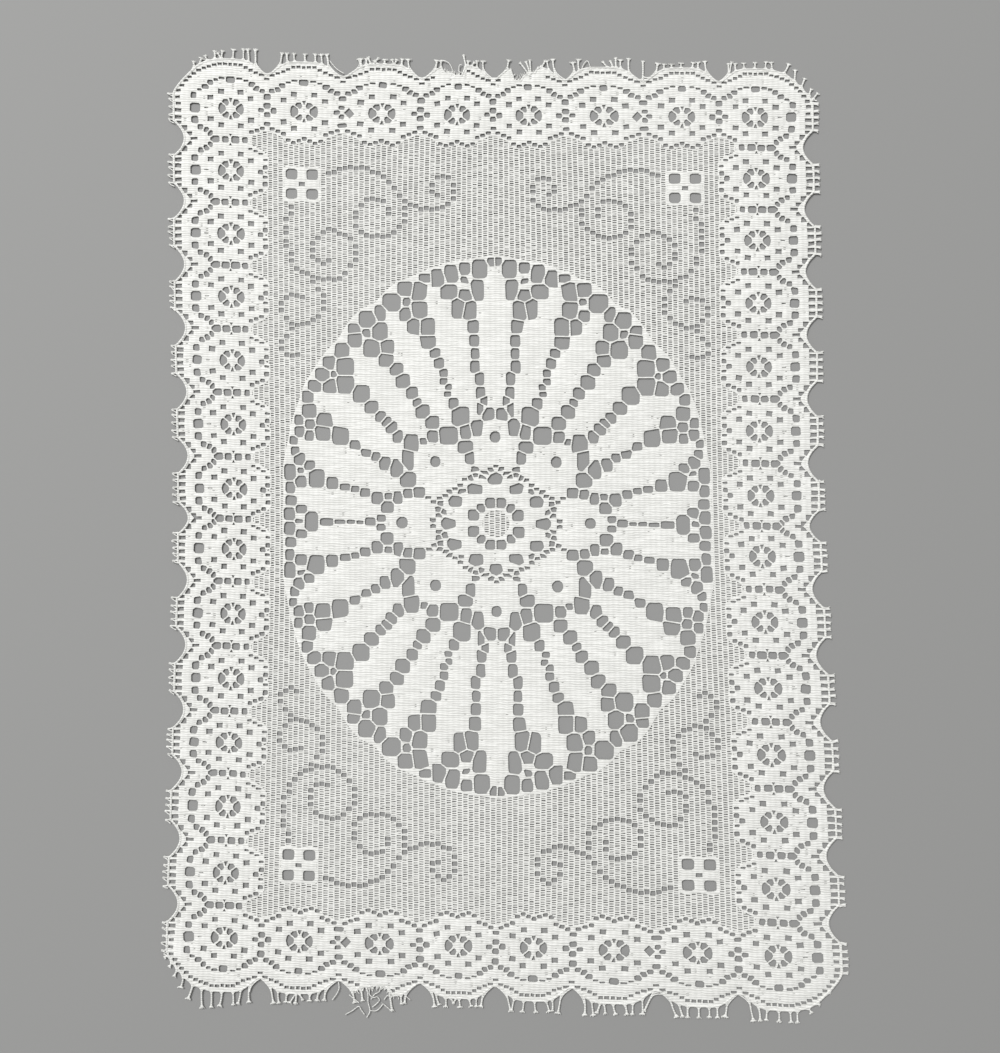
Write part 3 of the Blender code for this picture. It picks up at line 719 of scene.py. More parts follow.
lace_cotton = cotton("lace_cotton", light=(0.95, 0.95, 0.92), shade=(0.63, 0.63, 0.60),
                     weft_share=1.0, bump_depth=0.0002)
edge_line = torn(four_quarters(quarter_edge()[1:]))
inner_line = four_quarters(inner_quarter())
flowers = [ring for column in COLUMNS for row in ROWS
           if column in (COLUMNS[0], COLUMNS[-1]) or row in (ROWS[0], ROWS[-1])
           for ring in flower(column, row)]
tips, diamonds, side_cuts = [], [], []
for side in (1, -1):
    for low, high in zip(ROWS, ROWS[1:]):
        middle = (COLUMNS[-1] + MEETING_OUT) * RIB * side, (low + high) / 2 * COURSE
        tips += [np.array(MEETING_TIP) * (0.001, 0.001 * way) + middle for way in (1, -1)]
    for end in (1, -1):
        middle = (COLUMNS[DIAMOND_GAPS[-1]] + HALF_RIBS) * RIB * side, ROWS[-1] * COURSE * end
        diamonds.append(np.array(DIAMOND_SIDE) * (-0.001 * side, 0.001 * end) + middle)
    for row, flip in [(row, flip) for row in ROWS for flip in (1, -1) if abs(row + flip) < ROWS[-1]]:
        for across, up, width, height in SIDE_CUT:
            ring = np.array([(COLUMNS[-1] + across + width * out, (up + height * away) * flip + row)
                             for out, away in SIDE_CUT_RIM])
            side_cuts.append(ring * (RIB * side, COURSE) + chance.normal(0, UNEVEN_RIM, ring.shape))
border_rings = [edge_line, inner_line] + flowers + tips + diamonds + side_cuts
border_rings += rims(border_openings(), RIM_CORNERS, THREAD, PULL)


def in_border(x, y):
    return within(edge_line, x, y) & ~within(inner_line, x, y)


border = cut_cloth("border_lace", border_rings + dashes(BORDER_DASHES, border_rings, in_border), lace_cotton)
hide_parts("lace_cloth")


# ---------------------------------------------------------------- wheel
# An oval wheel of the same cotton, made in one with the net: twenty-six petals in cloth stitch round eight
# inner petals and a knotted hub. The petals are parted by chains of openings, with single threads between
# them, and open round the rim.

WHEEL_WIDTH, WHEEL_HEIGHT, WHEEL_LIFT = 0.1000, 0.1274, 0.0012    # half sizes; each half is moved this far
WHEEL_CENTRE = (0.0005, -0.0001)
HUB_RING = 0.0063               # radius at which the wheel's cloth begins round the hub's net
WHEEL_THREAD, WHEEL_PULL, WHEEL_CORNERS = 0.00052, 0.0023, 12
WHEEL_SIZES, WHEEL_STRAY = (1.01, 1.09), 0.0001
WHEEL_ROUNDED, EYELET_ROUNDED = 4.5, 2.3
ON_MIDDLE = 0.0007              # nearer to a middle line than this, an opening is made once
WHEEL_LINE_CORNERS, HUB_RING_CORNERS = 240, 24
OUTER_THREAD = 0.0060           # the thread outside the outermost openings, where 1 is the wheel's size
HELD_OUT = 1.9                  # how far round an opening holds that thread out (degrees)
WHEEL_DASHES, DASHES_FROM, DASHES_TO = 500, 0.009, 0.97     # from the middle (m), to this share of the wheel
# between the petals, for one quarter of the wheel: angle, radius (of 1), width (degrees), length (of 1)
RAYS = {
    "level": [(-0.6, 0.868, 4.7, 0.058), (-0.5, 0.93, 0.9, 0.03), (2.3, 0.919, 2.0, 0.056),
              (1.1, 0.976, 2.3, 0.052), (-0.7, 0.798, 2.0, 0.055), (-0.7, 0.73, 1.3, 0.045),
              (-0.7, 0.68, 1.3, 0.038), (-0.7, 0.635, 1.3, 0.03), (-0.7, 0.587, 2.9, 0.05),
              (3.95, 0.972, 1.9, 0.055), (6.75, 0.98, 2.1, 0.046)],
    "first": [(10, 0.989, 3.3, 0.054), (8.2, 0.93, 2.4, 0.056), (10.95, 0.938, 0.8, 0.03),
              (13.4, 0.953, 2.5, 0.054), (14.7, 0.98, 2, 0.042), (12.7, 0.899, 2.1, 0.05),
              (10, 0.857, 4.7, 0.075), (9.9, 0.782, 3.3, 0.055), (9.6, 0.717, 2, 0.048),
              (9.7, 0.667, 2, 0.042), (9.3, 0.619, 3, 0.048), (16.8, 0.997, 1.8, 0.037)],
    "second": [(19, 0.982, 2.4, 0.046), (21.4, 0.999, 2.2, 0.038), (19.1, 0.931, 2.1, 0.043),
               (21.8, 0.945, 1.7, 0.035), (24.5, 0.964, 3, 0.065), (24.6, 0.884, 2.9, 0.064),
               (21.3, 0.869, 3.5, 0.065), (22.8, 0.79, 4.6, 0.075), (22.7, 0.717, 2.3, 0.046),
               (27, 0.993, 2.7, 0.048), (29.9, 0.984, 2.7, 0.058)],
    "third": [(33.2, 0.977, 2.9, 0.056), (36.5, 0.975, 3.1, 0.048), (32.2, 0.917, 3.2, 0.056),
              (35.5, 0.928, 1.2, 0.022), (38.7, 0.902, 3.9, 0.078), (35.3, 0.865, 5.2, 0.07),
              (36.5, 0.783, 5.1, 0.073), (41.2, 0.952, 3.4, 0.057)],
    "fourth": [(45.3, 0.936, 3.4, 0.066), (46.8, 0.97, 2.8, 0.038), (49, 0.915, 1.7, 0.026),
               (51.2, 0.957, 4.4, 0.06), (55, 0.938, 2.6, 0.062), (47.6, 0.858, 4.5, 0.072),
               (52.3, 0.882, 4, 0.07), (51.9, 0.816, 3.9, 0.062), (49.3, 0.783, 4.6, 0.05),
               (50.5, 0.726, 4.7, 0.05), (49.9, 0.671, 5.2, 0.055), (50.5, 0.611, 4.6, 0.048),
               (58.9, 0.943, 4.6, 0.073)],
    "fifth": [(64, 0.958, 3.9, 0.05), (62.9, 0.912, 1.5, 0.022), (67.5, 0.924, 3.7, 0.07),
              (61.2, 0.868, 3.4, 0.047), (65.8, 0.856, 4.2, 0.063), (62.1, 0.815, 3.6, 0.06),
              (66.4, 0.784, 4.6, 0.072), (64.8, 0.731, 5.2, 0.053), (65.7, 0.682, 4, 0.036),
              (65.8, 0.639, 3.9, 0.04), (66.1, 0.598, 3.6, 0.03), (64.8, 0.568, 3.6, 0.025),
              (66.2, 0.542, 3.4, 0.023), (64.4, 0.518, 3.8, 0.02), (70, 0.96, 3.3, 0.03),
              (73.4, 0.941, 3.6, 0.065)],
    "sixth": [(77.4, 0.944, 3.7, 0.065), (81.5, 0.953, 3.2, 0.042), (81, 0.904, 1.8, 0.017),
              (85.8, 0.942, 4.3, 0.066), (75.9, 0.876, 5.3, 0.055), (80.5, 0.848, 4.2, 0.048),
              (84.8, 0.859, 3.7, 0.075), (77.8, 0.808, 4.1, 0.076), (81.5, 0.79, 4.7, 0.072),
              (82, 0.728, 4.2, 0.05), (81.8, 0.675, 3.9, 0.04), (81.3, 0.626, 3.7, 0.035),
              (80.4, 0.576, 4.4, 0.043), (82.2, 0.534, 4.6, 0.044), (89, 0.964, 2.2, 0.033)],
}
# round and in the inner petals, and in the hub, for one quarter: across, up, width, height (mm)
INNER = [(3.2, 51.4, 5.2, 5.7), (5.2, 57.7, 3.3, 5), (7, 54, 3, 6.2),
         (6.8, 61.2, 4.4, 5), (8.8, 44.8, 5.4, 7.3), (13.8, 43.4, 5.4, 6.9), (16.1, 50.2, 7.9, 8.8),
         (19.6, 56.4, 4.8, 5.3), (21.8, 41.2, 8.5, 8.2), (29.4, 47.5, 6.6, 5.8), (29.5, 40.6, 5.4, 5.1),
         (33.6, 38.4, 3.6, 3.2), (33.9, 52.6, 6.5, 6.4), (36.5, 56.8, 4.2, 4), (14.1, 35.7, 7, 5.4),
         (12.1, 31.1, 4.4, 5.8), (39.2, 37.5, 7.2, 8.5), (40.8, 30, 5.6, 9.5),
         (46, 25.6, 6, 8.5), (45.5, 40.7, 5, 6), (48.6, 44.7, 5.6, 5.5), (51, 47.5, 4.8, 4.5),
         (53.8, 49.8, 5, 5), (58, 54.3, 6.7, 6), (41, 20.5, 7.4, 6.2), (51.6, 27.8, 5.3, 6.1),
         (56, 31, 4.5, 4.2), (60.5, 32.5, 4.5, 3.5), (35.5, 14.3, 5.5, 5), (41, 13.6, 4.7, 4.1),
         (45.6, 11.9, 4.5, 5.7), (50.1, 12.7, 3.8, 2.9), (55.5, 11.5, 5.5, 5.8), (50.7, 7.3, 6, 5.4),
         (53.6, 2.3, 4.2, 2.8)]
PETAL_EYELETS = [(0, 40.7, 4.7, 5.2), (28.2, 29, 4.8, 5.2), (43.6, 0.2, 5.2, 5.2)]
HUB = [(0, 20.4, 5.2, 4), (9.1, 16, 5.8, 4.1), (18.8, 9.7, 5.8, 4), (21.7, 0, 6.3, 4),
       (2.5, 9.8, 4.7, 4.5), (7, 7.1, 4, 4), (10.3, 3.9, 5.3, 5.2)]
# two rows of slots between the hub and the inner petals, for one quarter: across, up (mm)
SLOTS = [(0.2, 27), (2.5, 25.9), (4.9, 23.9), (6.8, 21.9), (9.8, 25.8), (9.6, 22.5), (11.8, 21.5),
         (14.3, 20.5), (16.6, 18.2), (19, 16.2), (16.2, 15.3), (21.7, 15.1), (23.6, 13.1), (25.9, 12.1),
         (31.2, 12), (28.8, 10.3), (26, 9.5), (26.6, 6.5), (24.2, 5.4), (26.6, 3.7), (29.3, 1.5)]
SLOT_WIDTH, SLOT_HEIGHT = 0.0027, 0.00135


def round_wheel(x, y, width, height, power=WHEEL_ROUNDED):
    """The same opening in all four quarters of the wheel; on a middle line, only once."""
    found = []
    for flip_x in ((1, -1) if abs(x) > ON_MIDDLE else (1,)):
        for flip_y in ((1, -1) if abs(y) > ON_MIDDLE else (1,)):
            size = chance.uniform(*WHEEL_SIZES)
            found.append(Opening(WHEEL_CENTRE[0] + x * flip_x + chance.normal(0, WHEEL_STRAY),
                                 WHEEL_CENTRE[1] + y * flip_y + chance.normal(0, WHEEL_STRAY),
                                 width * size, height * size, 0.0, power))
    return found


def wheel_openings():
    found = []
    for rows in RAYS.values():
        for degrees_up, radius, spread, length in rows:
            angle = radians(degrees_up)
            out_x, out_y = WHEEL_WIDTH * cos(angle), WHEEL_HEIGHT * sin(angle)
            wide = radians(spread) * radius * hypot(WHEEL_WIDTH * sin(angle), WHEEL_HEIGHT * cos(angle))
            long, slope = length * hypot(out_x, out_y), atan2(out_y, out_x) - pi / 2
            # the openings follow the ray, but the ribs keep their sides upright
            found += round_wheel(out_x * radius, out_y * radius + WHEEL_LIFT,
                                 hypot(wide * cos(slope), long * sin(slope)),
                                 hypot(wide * sin(slope), long * cos(slope)))
    for across, up, width, height in INNER + HUB:
        found += round_wheel(across / 1000, up / 1000, width / 1000, height / 1000)
    for across, up, width, height in PETAL_EYELETS:
        found += round_wheel(across / 1000, up / 1000, width / 1000, height / 1000, EYELET_ROUNDED)
    for across, up in SLOTS:
        found += round_wheel(across / 1000, up / 1000, SLOT_WIDTH, SLOT_HEIGHT, DRAWN_IN)
    return found


def wheel_radius(x, y):
    """How far out a draft point is, where 1 is on the wheel's rim; x and y in metres."""
    x, y = x - WHEEL_CENTRE[0], y - WHEEL_CENTRE[1]
    y = np.maximum(np.abs(y) - WHEEL_LIFT, 0.0)
    return np.hypot(x / WHEEL_WIDTH, y / WHEEL_HEIGHT)


def wheel_outline(openings):
    """The wheel's outer edge: a thread stretched round the outermost openings."""
    points = np.vstack(openings) - WHEEL_CENTRE
    turns = np.arctan2(points[:, 1] / WHEEL_HEIGHT, points[:, 0] / WHEEL_WIDTH)
    reach = wheel_radius(*(points + WHEEL_CENTRE).T)
    angles = tau * np.arange(WHEEL_LINE_CORNERS) / WHEEL_LINE_CORNERS
    found = []
    for angle in angles:
        away = np.abs((turns - angle + pi) % tau - pi)
        found.append(reach[away < radians(HELD_OUT)].max() + OUTER_THREAD)
    found = np.array(found)
    found = (np.roll(found, 1) + found + np.roll(found, -1)) / 3
    x = WHEEL_CENTRE[0] + WHEEL_WIDTH * found * np.cos(angles)
    y = WHEEL_CENTRE[1] + WHEEL_HEIGHT * found * np.sin(angles)
    y += WHEEL_LIFT * np.sign(np.sin(angles).round(6))
    return list(zip(x.tolist(), y.tolist()))


hub_ring = [(WHEEL_CENTRE[0] + HUB_RING * cos(angle), WHEEL_CENTRE[1] + HUB_RING * sin(angle))
            for angle in tau * np.arange(HUB_RING_CORNERS) / HUB_RING_CORNERS]
wheel_gaps = rims(wheel_openings(), WHEEL_CORNERS, WHEEL_THREAD, WHEEL_PULL)
wheel_line = wheel_outline(wheel_gaps)
wheel_rings = [wheel_line, hub_ring] + wheel_gaps


def in_wheel(x, y):
    return (wheel_radius(x, y) < DASHES_TO) & (np.hypot(x, y) > DASHES_FROM)


wheel = cut_cloth("wheel_lace", wheel_rings + dashes(WHEEL_DASHES, wheel_rings, in_wheel), lace_cotton)
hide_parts("lace_cloth")


# ---------------------------------------------------------------- corner blocks
# A dense block of cloth stitch in each corner of the net, made in one with it from the same cotton, with
# four square openings and an eyelet in their middle. The weft fills in between the ribs, so it is thicker
# and whiter than the net.

BLOCK_PLACE = (35.5, 148.3)     # ribs, courses
# outline of the block, from its middle (ribs, courses), a quarter
BLOCK_OUTLINE = [(1.0, 7.6), (1.9, 8.1), (2.9, 8.0), (3.5, 7.2), (3.7, 5.6), (3.65, 3.2), (3.3, 1.4)]
BLOCK_SQUARE = (1.93, 4.4, 2.25, 4.8)       # place from the middle and size (ribs, courses)
BLOCK_EYELET = (1.2, 1.85)                  # ribs, courses
BLOCK_DASHES = 6
UNDER_BLOCK = 0.86              # the net runs under the block as far as this share of its outline

block_lines, blocks = [], []
for side in (-1, 1):
    for end in (-1, 1):
        middle_x, middle_y = BLOCK_PLACE[0] * side, BLOCK_PLACE[1] * end
        outline = four_quarters(BLOCK_OUTLINE, (middle_x, middle_y))
        squares = [on_grid(middle_x + BLOCK_SQUARE[0] * across, middle_y + BLOCK_SQUARE[1] * up,
                           *BLOCK_SQUARE[2:], 0.0, ROUNDED) for across in (-1, 1) for up in (-1, 1)]
        squares.append(on_grid(middle_x, middle_y, *BLOCK_EYELET, 0.0, DRAWN_IN))
        name = "corner_block_%s_%s" % ("left" if side < 0 else "right", "low" if end < 0 else "top")
        rings = [outline] + rims(squares, WHEEL_CORNERS, THREAD, PULL)
        rings += dashes(BLOCK_DASHES, rings, lambda x, y: within(outline, x, y))
        blocks.append(cut_cloth(name, rings, lace_cotton))
        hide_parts("lace_cloth")
        block_lines.append([(middle_x * RIB + UNDER_BLOCK * (x - middle_x * RIB),
                             middle_y * COURSE + UNDER_BLOCK * (y - middle_y * COURSE)) for x, y in outline])


# ---------------------------------------------------------------- net
# The plain ground of bleached cotton, thinner than the solid parts: straight warp ribs, ten to the inch,
# tied to each other by soft weft ties at every course. Where a tie is left out and its neighbours are
# drawn apart there is an eyelet, and rows of eyelets make the four sets of scrolls.

HUB_NET = 0.0074                # radius of the net disc in the wheel's hub
UNDER_EDGE = 0.001              # how far the net runs under the wheel and the border, as a share
NET_BASE = 0.00014
RIB_HALF, RIB_HEIGHT = 0.00038, 0.00036
TIE_HALF, TIE_HEIGHT, TIE_LEVEL = 0.00034, 0.00013, 0.00018     # level of its middle above the base
NET_RIBS, NET_COURSES = 46, 176 # the net's reach from the middle
PAST_END = 0.55                 # how far a rib runs on past the last course where it shows (courses)
# an eyelet draws the ribs beside it aside (ribs) and thinner (share), up and down from its middle (courses)
DRAWN_ASIDE, DRAWN_THIN, DRAWN_ALONG = 0.10, 0.46, 1.5
# how far a rib strays (ribs), and its least and greatest width and height, where 1 is as above
RIB_STRAY, RIB_WIDTHS, RIB_HEIGHTS = 0.018, (0.88, 1.12), (0.9, 1.1)
# a rib's cross-section: across and up, as shares of the half width and the height
RIB_PROFILE = np.array([(-1.0, 0.3), (-0.5, 1.0), (0.5, 1.0), (1.0, 0.3), (0.0, 0.0)])
TIE_STEPS = 6                   # places along a tie where the ground is looked for
TIE_ON = 0.1                    # how far a cut tie runs on past the last of them (ribs)
TIE_STRAY, TIE_SLANT, TIE_BULGE = 0.05, 0.07, 0.12      # courses, courses and a share
TIE_SIZES = (0.75, 1.15)        # least and greatest, where 1 is as above; the least beside an eyelet
EYELET_STRETCH = 0.24           # how far an eyelet draws the ties next to it off (courses)


def scroll_eyelets():
    """Eyelets of the scrolls as (gap between ribs, course), walked from eyelet to eyelet."""
    # start (ribs, courses), then steps: how many, across (ribs), up (courses)
    scrolls = [
        ((-30.5, 153.5), [(3, 1, 1), (3, 1, 0), (4, 1, -1), (1, 1, -2), (3, 1, -3), (3, 0, -3), (1, -1, -3),
                          (1, -1, -2), (2, -1, -1), (2, -1, 0), (2, -1, 1), (1, -1, 3), (2, 0, 3), (1, 1, 3),
                          (1, 1, 2), (1, 1, 1), (1, 1, 0), (1, 1, -1), (1, 1, -3), (1, 0, -3)]),
        ((-16.5, 141.5), [(3, 1, -1), (1, 1, -0.5), (2, 1, 0), (2, 1, 1), (1, 1, 3), (2, 0, 3), (1, -1, 3),
                          (1, -1, 1), (1, -1, -1), (1, -1, -3), (1, 0, -3), (1, 1, -1)]),
        ((-37.5, 138), [(1, 0, -3), (1, -1, -3), (4, 0, -3), (1, 1, -3), (1, 0, -3), (1, 1, -3), (1, 1, -2),
                        (3, 1, -1), (3, 1, 0), (1, 1, 1), (1, 1, 2), (2, 1, 3), (2, 0, 3), (1, -1, 3),
                        (1, -1, 2), (2, -1, 1), (1, -1, 0), (1, -1, -1), (1, -1, -2), (1, -1, -3),
                        (2, 0, -3), (1, 1, -2), (1, 1, -1), (1, 1, 1)]),
        ((-33.5, 104.6), [(2, 1, -3), (2, 0, -3), (1, -1, -3), (1, -1, -2), (2, -1, -1), (1, -1, 0),
                          (1, -1, 0.5), (1, -1, 2.5), (1, -1, 3), (1, 0, 3), (1, 1, 3), (1, 1, 1),
                          (1, 1, 0), (1, 1, -1)]),
        ((-37.5, 84), [(2, -1, -3), (1, 0, -3), (1, 1, -2), (1, 1, -1), (1, 1, 1)]),
    ]
    found = set()
    for (x, y), steps in scrolls:
        places = [(x, y)]
        for count, across, up in steps:
            for _ in range(count):
                places.append((places[-1][0] + across, places[-1][1] + up))
        for x, y in places:
            for gap in (int(x - 0.5), int(-x - 0.5)):
                shift = 0.5 * (gap % 2)
                found |= {(gap, round(y - shift) + shift), (gap, round(-y - shift) + shift)}
    return found


eyelets = scroll_eyelets()
rib_cotton = cotton("rib_cotton", light=(0.86, 0.86, 0.83), shade=(0.66, 0.66, 0.63),
                    weft_share=0.2, bump_depth=0.00012)
tie_cotton = cotton("tie_cotton", light=(0.86, 0.86, 0.83), shade=(0.62, 0.62, 0.59),
                    weft_share=0.2, bump_depth=0.00012)


def on_net(ribs, courses):
    """Where the net shows: inside the border and outside the wheel, or in the wheel's hub."""
    x, y = ribs * RIB, courses * COURSE
    ground = within(inner_line, x * (1.0 - UNDER_EDGE), y * (1.0 - UNDER_EDGE))
    ground &= ~within(wheel_line, x * (1.0 + UNDER_EDGE), y * (1.0 + UNDER_EDGE))
    for line in block_lines:
        ground &= ~within(line, x, y)
    hub = np.hypot(x - WHEEL_CENTRE[0], y - WHEEL_CENTRE[1]) < HUB_NET
    return ground | hub


def tube_faces(first, rings, sides):
    """The faces of a closed tube, whose points lie ring after ring from the first on."""
    faces = [(low + k, low + k + sides, low + (k + 1) % sides + sides, low + (k + 1) % sides)
             for low in range(first, first + (rings - 1) * sides, sides) for k in range(sides)]
    last = first + rings * sides - 1
    return faces + [tuple(range(first, first + sides)), tuple(range(last, last - sides, -1))]


def net_ribs():
    """Every warp rib as a soft five-sided rod, thinned and bent aside by the eyelets next to it."""
    courses = np.arange(-NET_COURSES, NET_COURSES + 1, dtype=float)
    sides = len(RIB_PROFILE)
    points, faces, count = [], [], 0
    for rib in range(-NET_RIBS, NET_RIBS + 1):
        shift, slim = np.zeros(courses.shape), np.ones(courses.shape)
        for gap, row in eyelets:
            if gap in (rib - 1, rib):
                near = np.clip(DRAWN_ALONG - np.abs(courses - row), 0.0, 1.0)
                shift += (DRAWN_ASIDE if gap == rib - 1 else -DRAWN_ASIDE) * near
                slim = np.minimum(slim, 1.0 - DRAWN_THIN * near)
        shown = on_net(np.full(courses.shape, float(rib)), courses)
        starts = np.flatnonzero(shown & ~np.roll(shown, 1))
        ends = np.flatnonzero(shown & ~np.roll(shown, -1))
        for start, end in zip(starts, ends):
            along = courses[start:end + 1]
            along = np.concatenate(([along[0] - PAST_END], along, [along[-1] + PAST_END]))
            pick = np.clip(np.arange(start - 1, end + 2), start, end)
            middle = (rib + shift[pick] + chance.normal(0, RIB_STRAY, along.shape)) * RIB
            half = RIB_HALF * slim[pick] * chance.uniform(*RIB_WIDTHS, along.shape)
            height = RIB_HEIGHT * chance.uniform(*RIB_HEIGHTS, along.shape)
            ring = np.stack((middle[:, None] + half[:, None] * RIB_PROFILE[:, 0],
                             np.repeat(along[:, None] * COURSE, sides, 1),
                             NET_BASE + height[:, None] * RIB_PROFILE[:, 1]), axis=2)
            points.append(ring.reshape(-1, 3))
            faces += tube_faces(count, len(along), sides)
            count += sides * len(along)
    return np.vstack(points), faces


def net_ties():
    """Weft ties between neighbouring ribs, one at every course, left out in an eyelet."""
    points, faces = [], []
    shares = np.linspace(0.0, 1.0, TIE_STEPS)
    for gap in range(-NET_RIBS, NET_RIBS):
        courses = np.arange(-NET_COURSES, NET_COURSES + 1) + 0.5 * (gap % 2)
        shown = np.array([on_net(np.full(courses.shape, gap + share), courses) for share in shares])
        for row, spans in zip(courses, shown.T):
            if (gap, row) in eyelets or not spans.any():
                continue
            # beside the wheel or the border a tie is cut short under their thread
            first, last = shares[spans][0], shares[spans][-1]
            first, last = max(first - TIE_ON, 0.0), min(last + TIE_ON, 1.0)
            below, above = (gap, row - 1) in eyelets, (gap, row + 1) in eyelets
            place = row + EYELET_STRETCH * (below - above) + chance.normal(0, TIE_STRAY)
            slant = chance.normal(0, TIE_SLANT)
            half = TIE_HALF * (TIE_SIZES[0] if above or below else chance.uniform(*TIE_SIZES)) / COURSE
            bulge = TIE_BULGE * chance.random()
            start = len(points) * 4
            for share, side in ((first, -1), (last, 1)):
                up = place + slant * side
                grown = half * (1.0 + bulge)
                points.append([((gap + share) * RIB, (up - grown) * COURSE, NET_BASE + TIE_LEVEL),
                               ((gap + share) * RIB, up * COURSE, NET_BASE + TIE_LEVEL - TIE_HEIGHT),
                               ((gap + share) * RIB, (up + grown) * COURSE, NET_BASE + TIE_LEVEL),
                               ((gap + share) * RIB, up * COURSE, NET_BASE + TIE_LEVEL + TIE_HEIGHT)])
            faces += [(start + k, start + (k + 1) % 4, start + (k + 1) % 4 + 4, start + k + 4)
                      for k in range(4)]
            faces += [(start + 3, start + 2, start + 1, start), (start + 4, start + 5, start + 6, start + 7)]
    return np.array(points).reshape(-1, 3), faces


ribs = lay_piece("net_ribs", *net_ribs(), rib_cotton)
ties = lay_piece("net_ties", *net_ties(), tie_cotton)
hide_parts("lace_cloth")
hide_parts("lace_cloth")

# ---------------------------------------------------------------- edges
# A fine cotton cord is worked round the scallops. The lace was cut from its web at both ends, so warp ends
# stand out of the top and bottom scallops, cut level and frayed. The long sides keep their small picots,
# soft tongues on the right and fine loops on the left.

# corners of each kind of thread's round, and how thick it lies, where 1 is as thick as wide
CORD_ROUND, TONGUE_ROUND, LOOP_ROUND = (6, 0.9), (6, 0.75), (5, 0.9)
FINE_ROUND, FIBRE_ROUND = (4, 1.0), (3, 1.0)
CURVE_STEPS, SMOOTH_STEPS = 6, 4        # places along a foot, and from point to point of a loose thread
# the cord, a warp end and a loose thread: half their thickness, the level of their middle, their least and
# greatest size where 1 is that, how far they bow aside (share), and how far they lie above a warp end
CORD_HALF, CORD_LEVEL, CORD_SIZES = 0.00050, 0.00050, (0.88, 1.12)
STRAND_HALF, STRAND_LEVEL, STRAND_SIZES, STRAND_BOW = 0.00042, 0.00050, (0.88, 1.15), 0.025
LOOSE_HALF, LOOSE_ABOVE = 0.00022, 0.0002
CORD_INSET = (0.9985, 0.999)    # keeps the cord's middle just inside the edge line
CORNER_SHARE = 0.72             # how far out on the corner scallops the four edges meet
EDGE_FROM = 7                   # the top and bottom scallops begin past this (courses from the knots)
ROOTED = 0.0003                 # how far inside the edge or the thread that holds it a thread begins
TUFT = 0.9                      # how far the fibres of a cut end stand out past it (courses)
TOP_SHIFT = 0.25                # the top warp ends all lie a little to the right (ribs)
# fibres of a cut end: how many and how long, their fan over its width (radians, share), their bow, how
# far up and down they stand, and half their thickness along them
WISPS, WISP_LONG, WISP_SIZES = 5, 0.0006, (0.6, 1.1)
FAN, FAN_STRAY, FAN_WIDTH, WISP_BOW, WISP_STRAY = 0.9, 0.15, 0.85, 0.12, 0.0001
WISP_SHARES, WISP_HALVES = (0, 0.35, 0.7, 1), np.array([0.00026, 0.00024, 0.00018, 0.00008])
# a warp end's thickness from the cord to its cut end, which is spread as wide as the tables say
STRAND_SHARES = np.array([0.0, 0.12, 0.3, 0.5, 0.7, 0.84, 0.94, 1.0])
STRAND_SHAPE = np.array([1.3, 1.05, 0.92, 0.9, 0.95, 1.05, 1.2, 1.3])
PICOT_UPS, PICOT_STRAY = (-6.0, -3.0, 0.0, 3.0, 6.0), 0.0002
# a picot of the right side: length, half width, how far its tip strays, its bow, its thickness along it,
# and its fibres: how many, how long, and over how many half widths they stand
TONGUE_LONG, TONGUE_HALF, TONGUE_STRAY, TONGUE_BOW = (0.0023, 0.0028), (0.00058, 0.00075), 0.0003, 0.05
TONGUE_SHARES, TONGUE_SHAPE = (0, 0.3, 0.6, 0.85, 1), np.array([1.15, 0.95, 0.95, 1.1, 0.95])
TONGUE_WISPS, TONGUE_WISP_LONG, TONGUE_FAN = 4, 0.0005, 1.8
# a picot of the left side: length out, how far down its way back ends, how far its tip strays, its bow, and
# half its thickness along it
LOOP_LONG, LOOP_BACK, LOOP_STRAY, LOOP_BOW = (0.0023, 0.0031), (0.0011, 0.0017), 0.0004, 0.06
LOOP_SHARES, LOOP_HALVES = (0, 0.3, 0.6, 0.8, 1), np.array([0.00048, 0.00036, 0.00034, 0.00054, 0.00045])
LOOP_BACK_SHARES, LOOP_BACK_HALF = (0, 0.5, 1), 0.00027
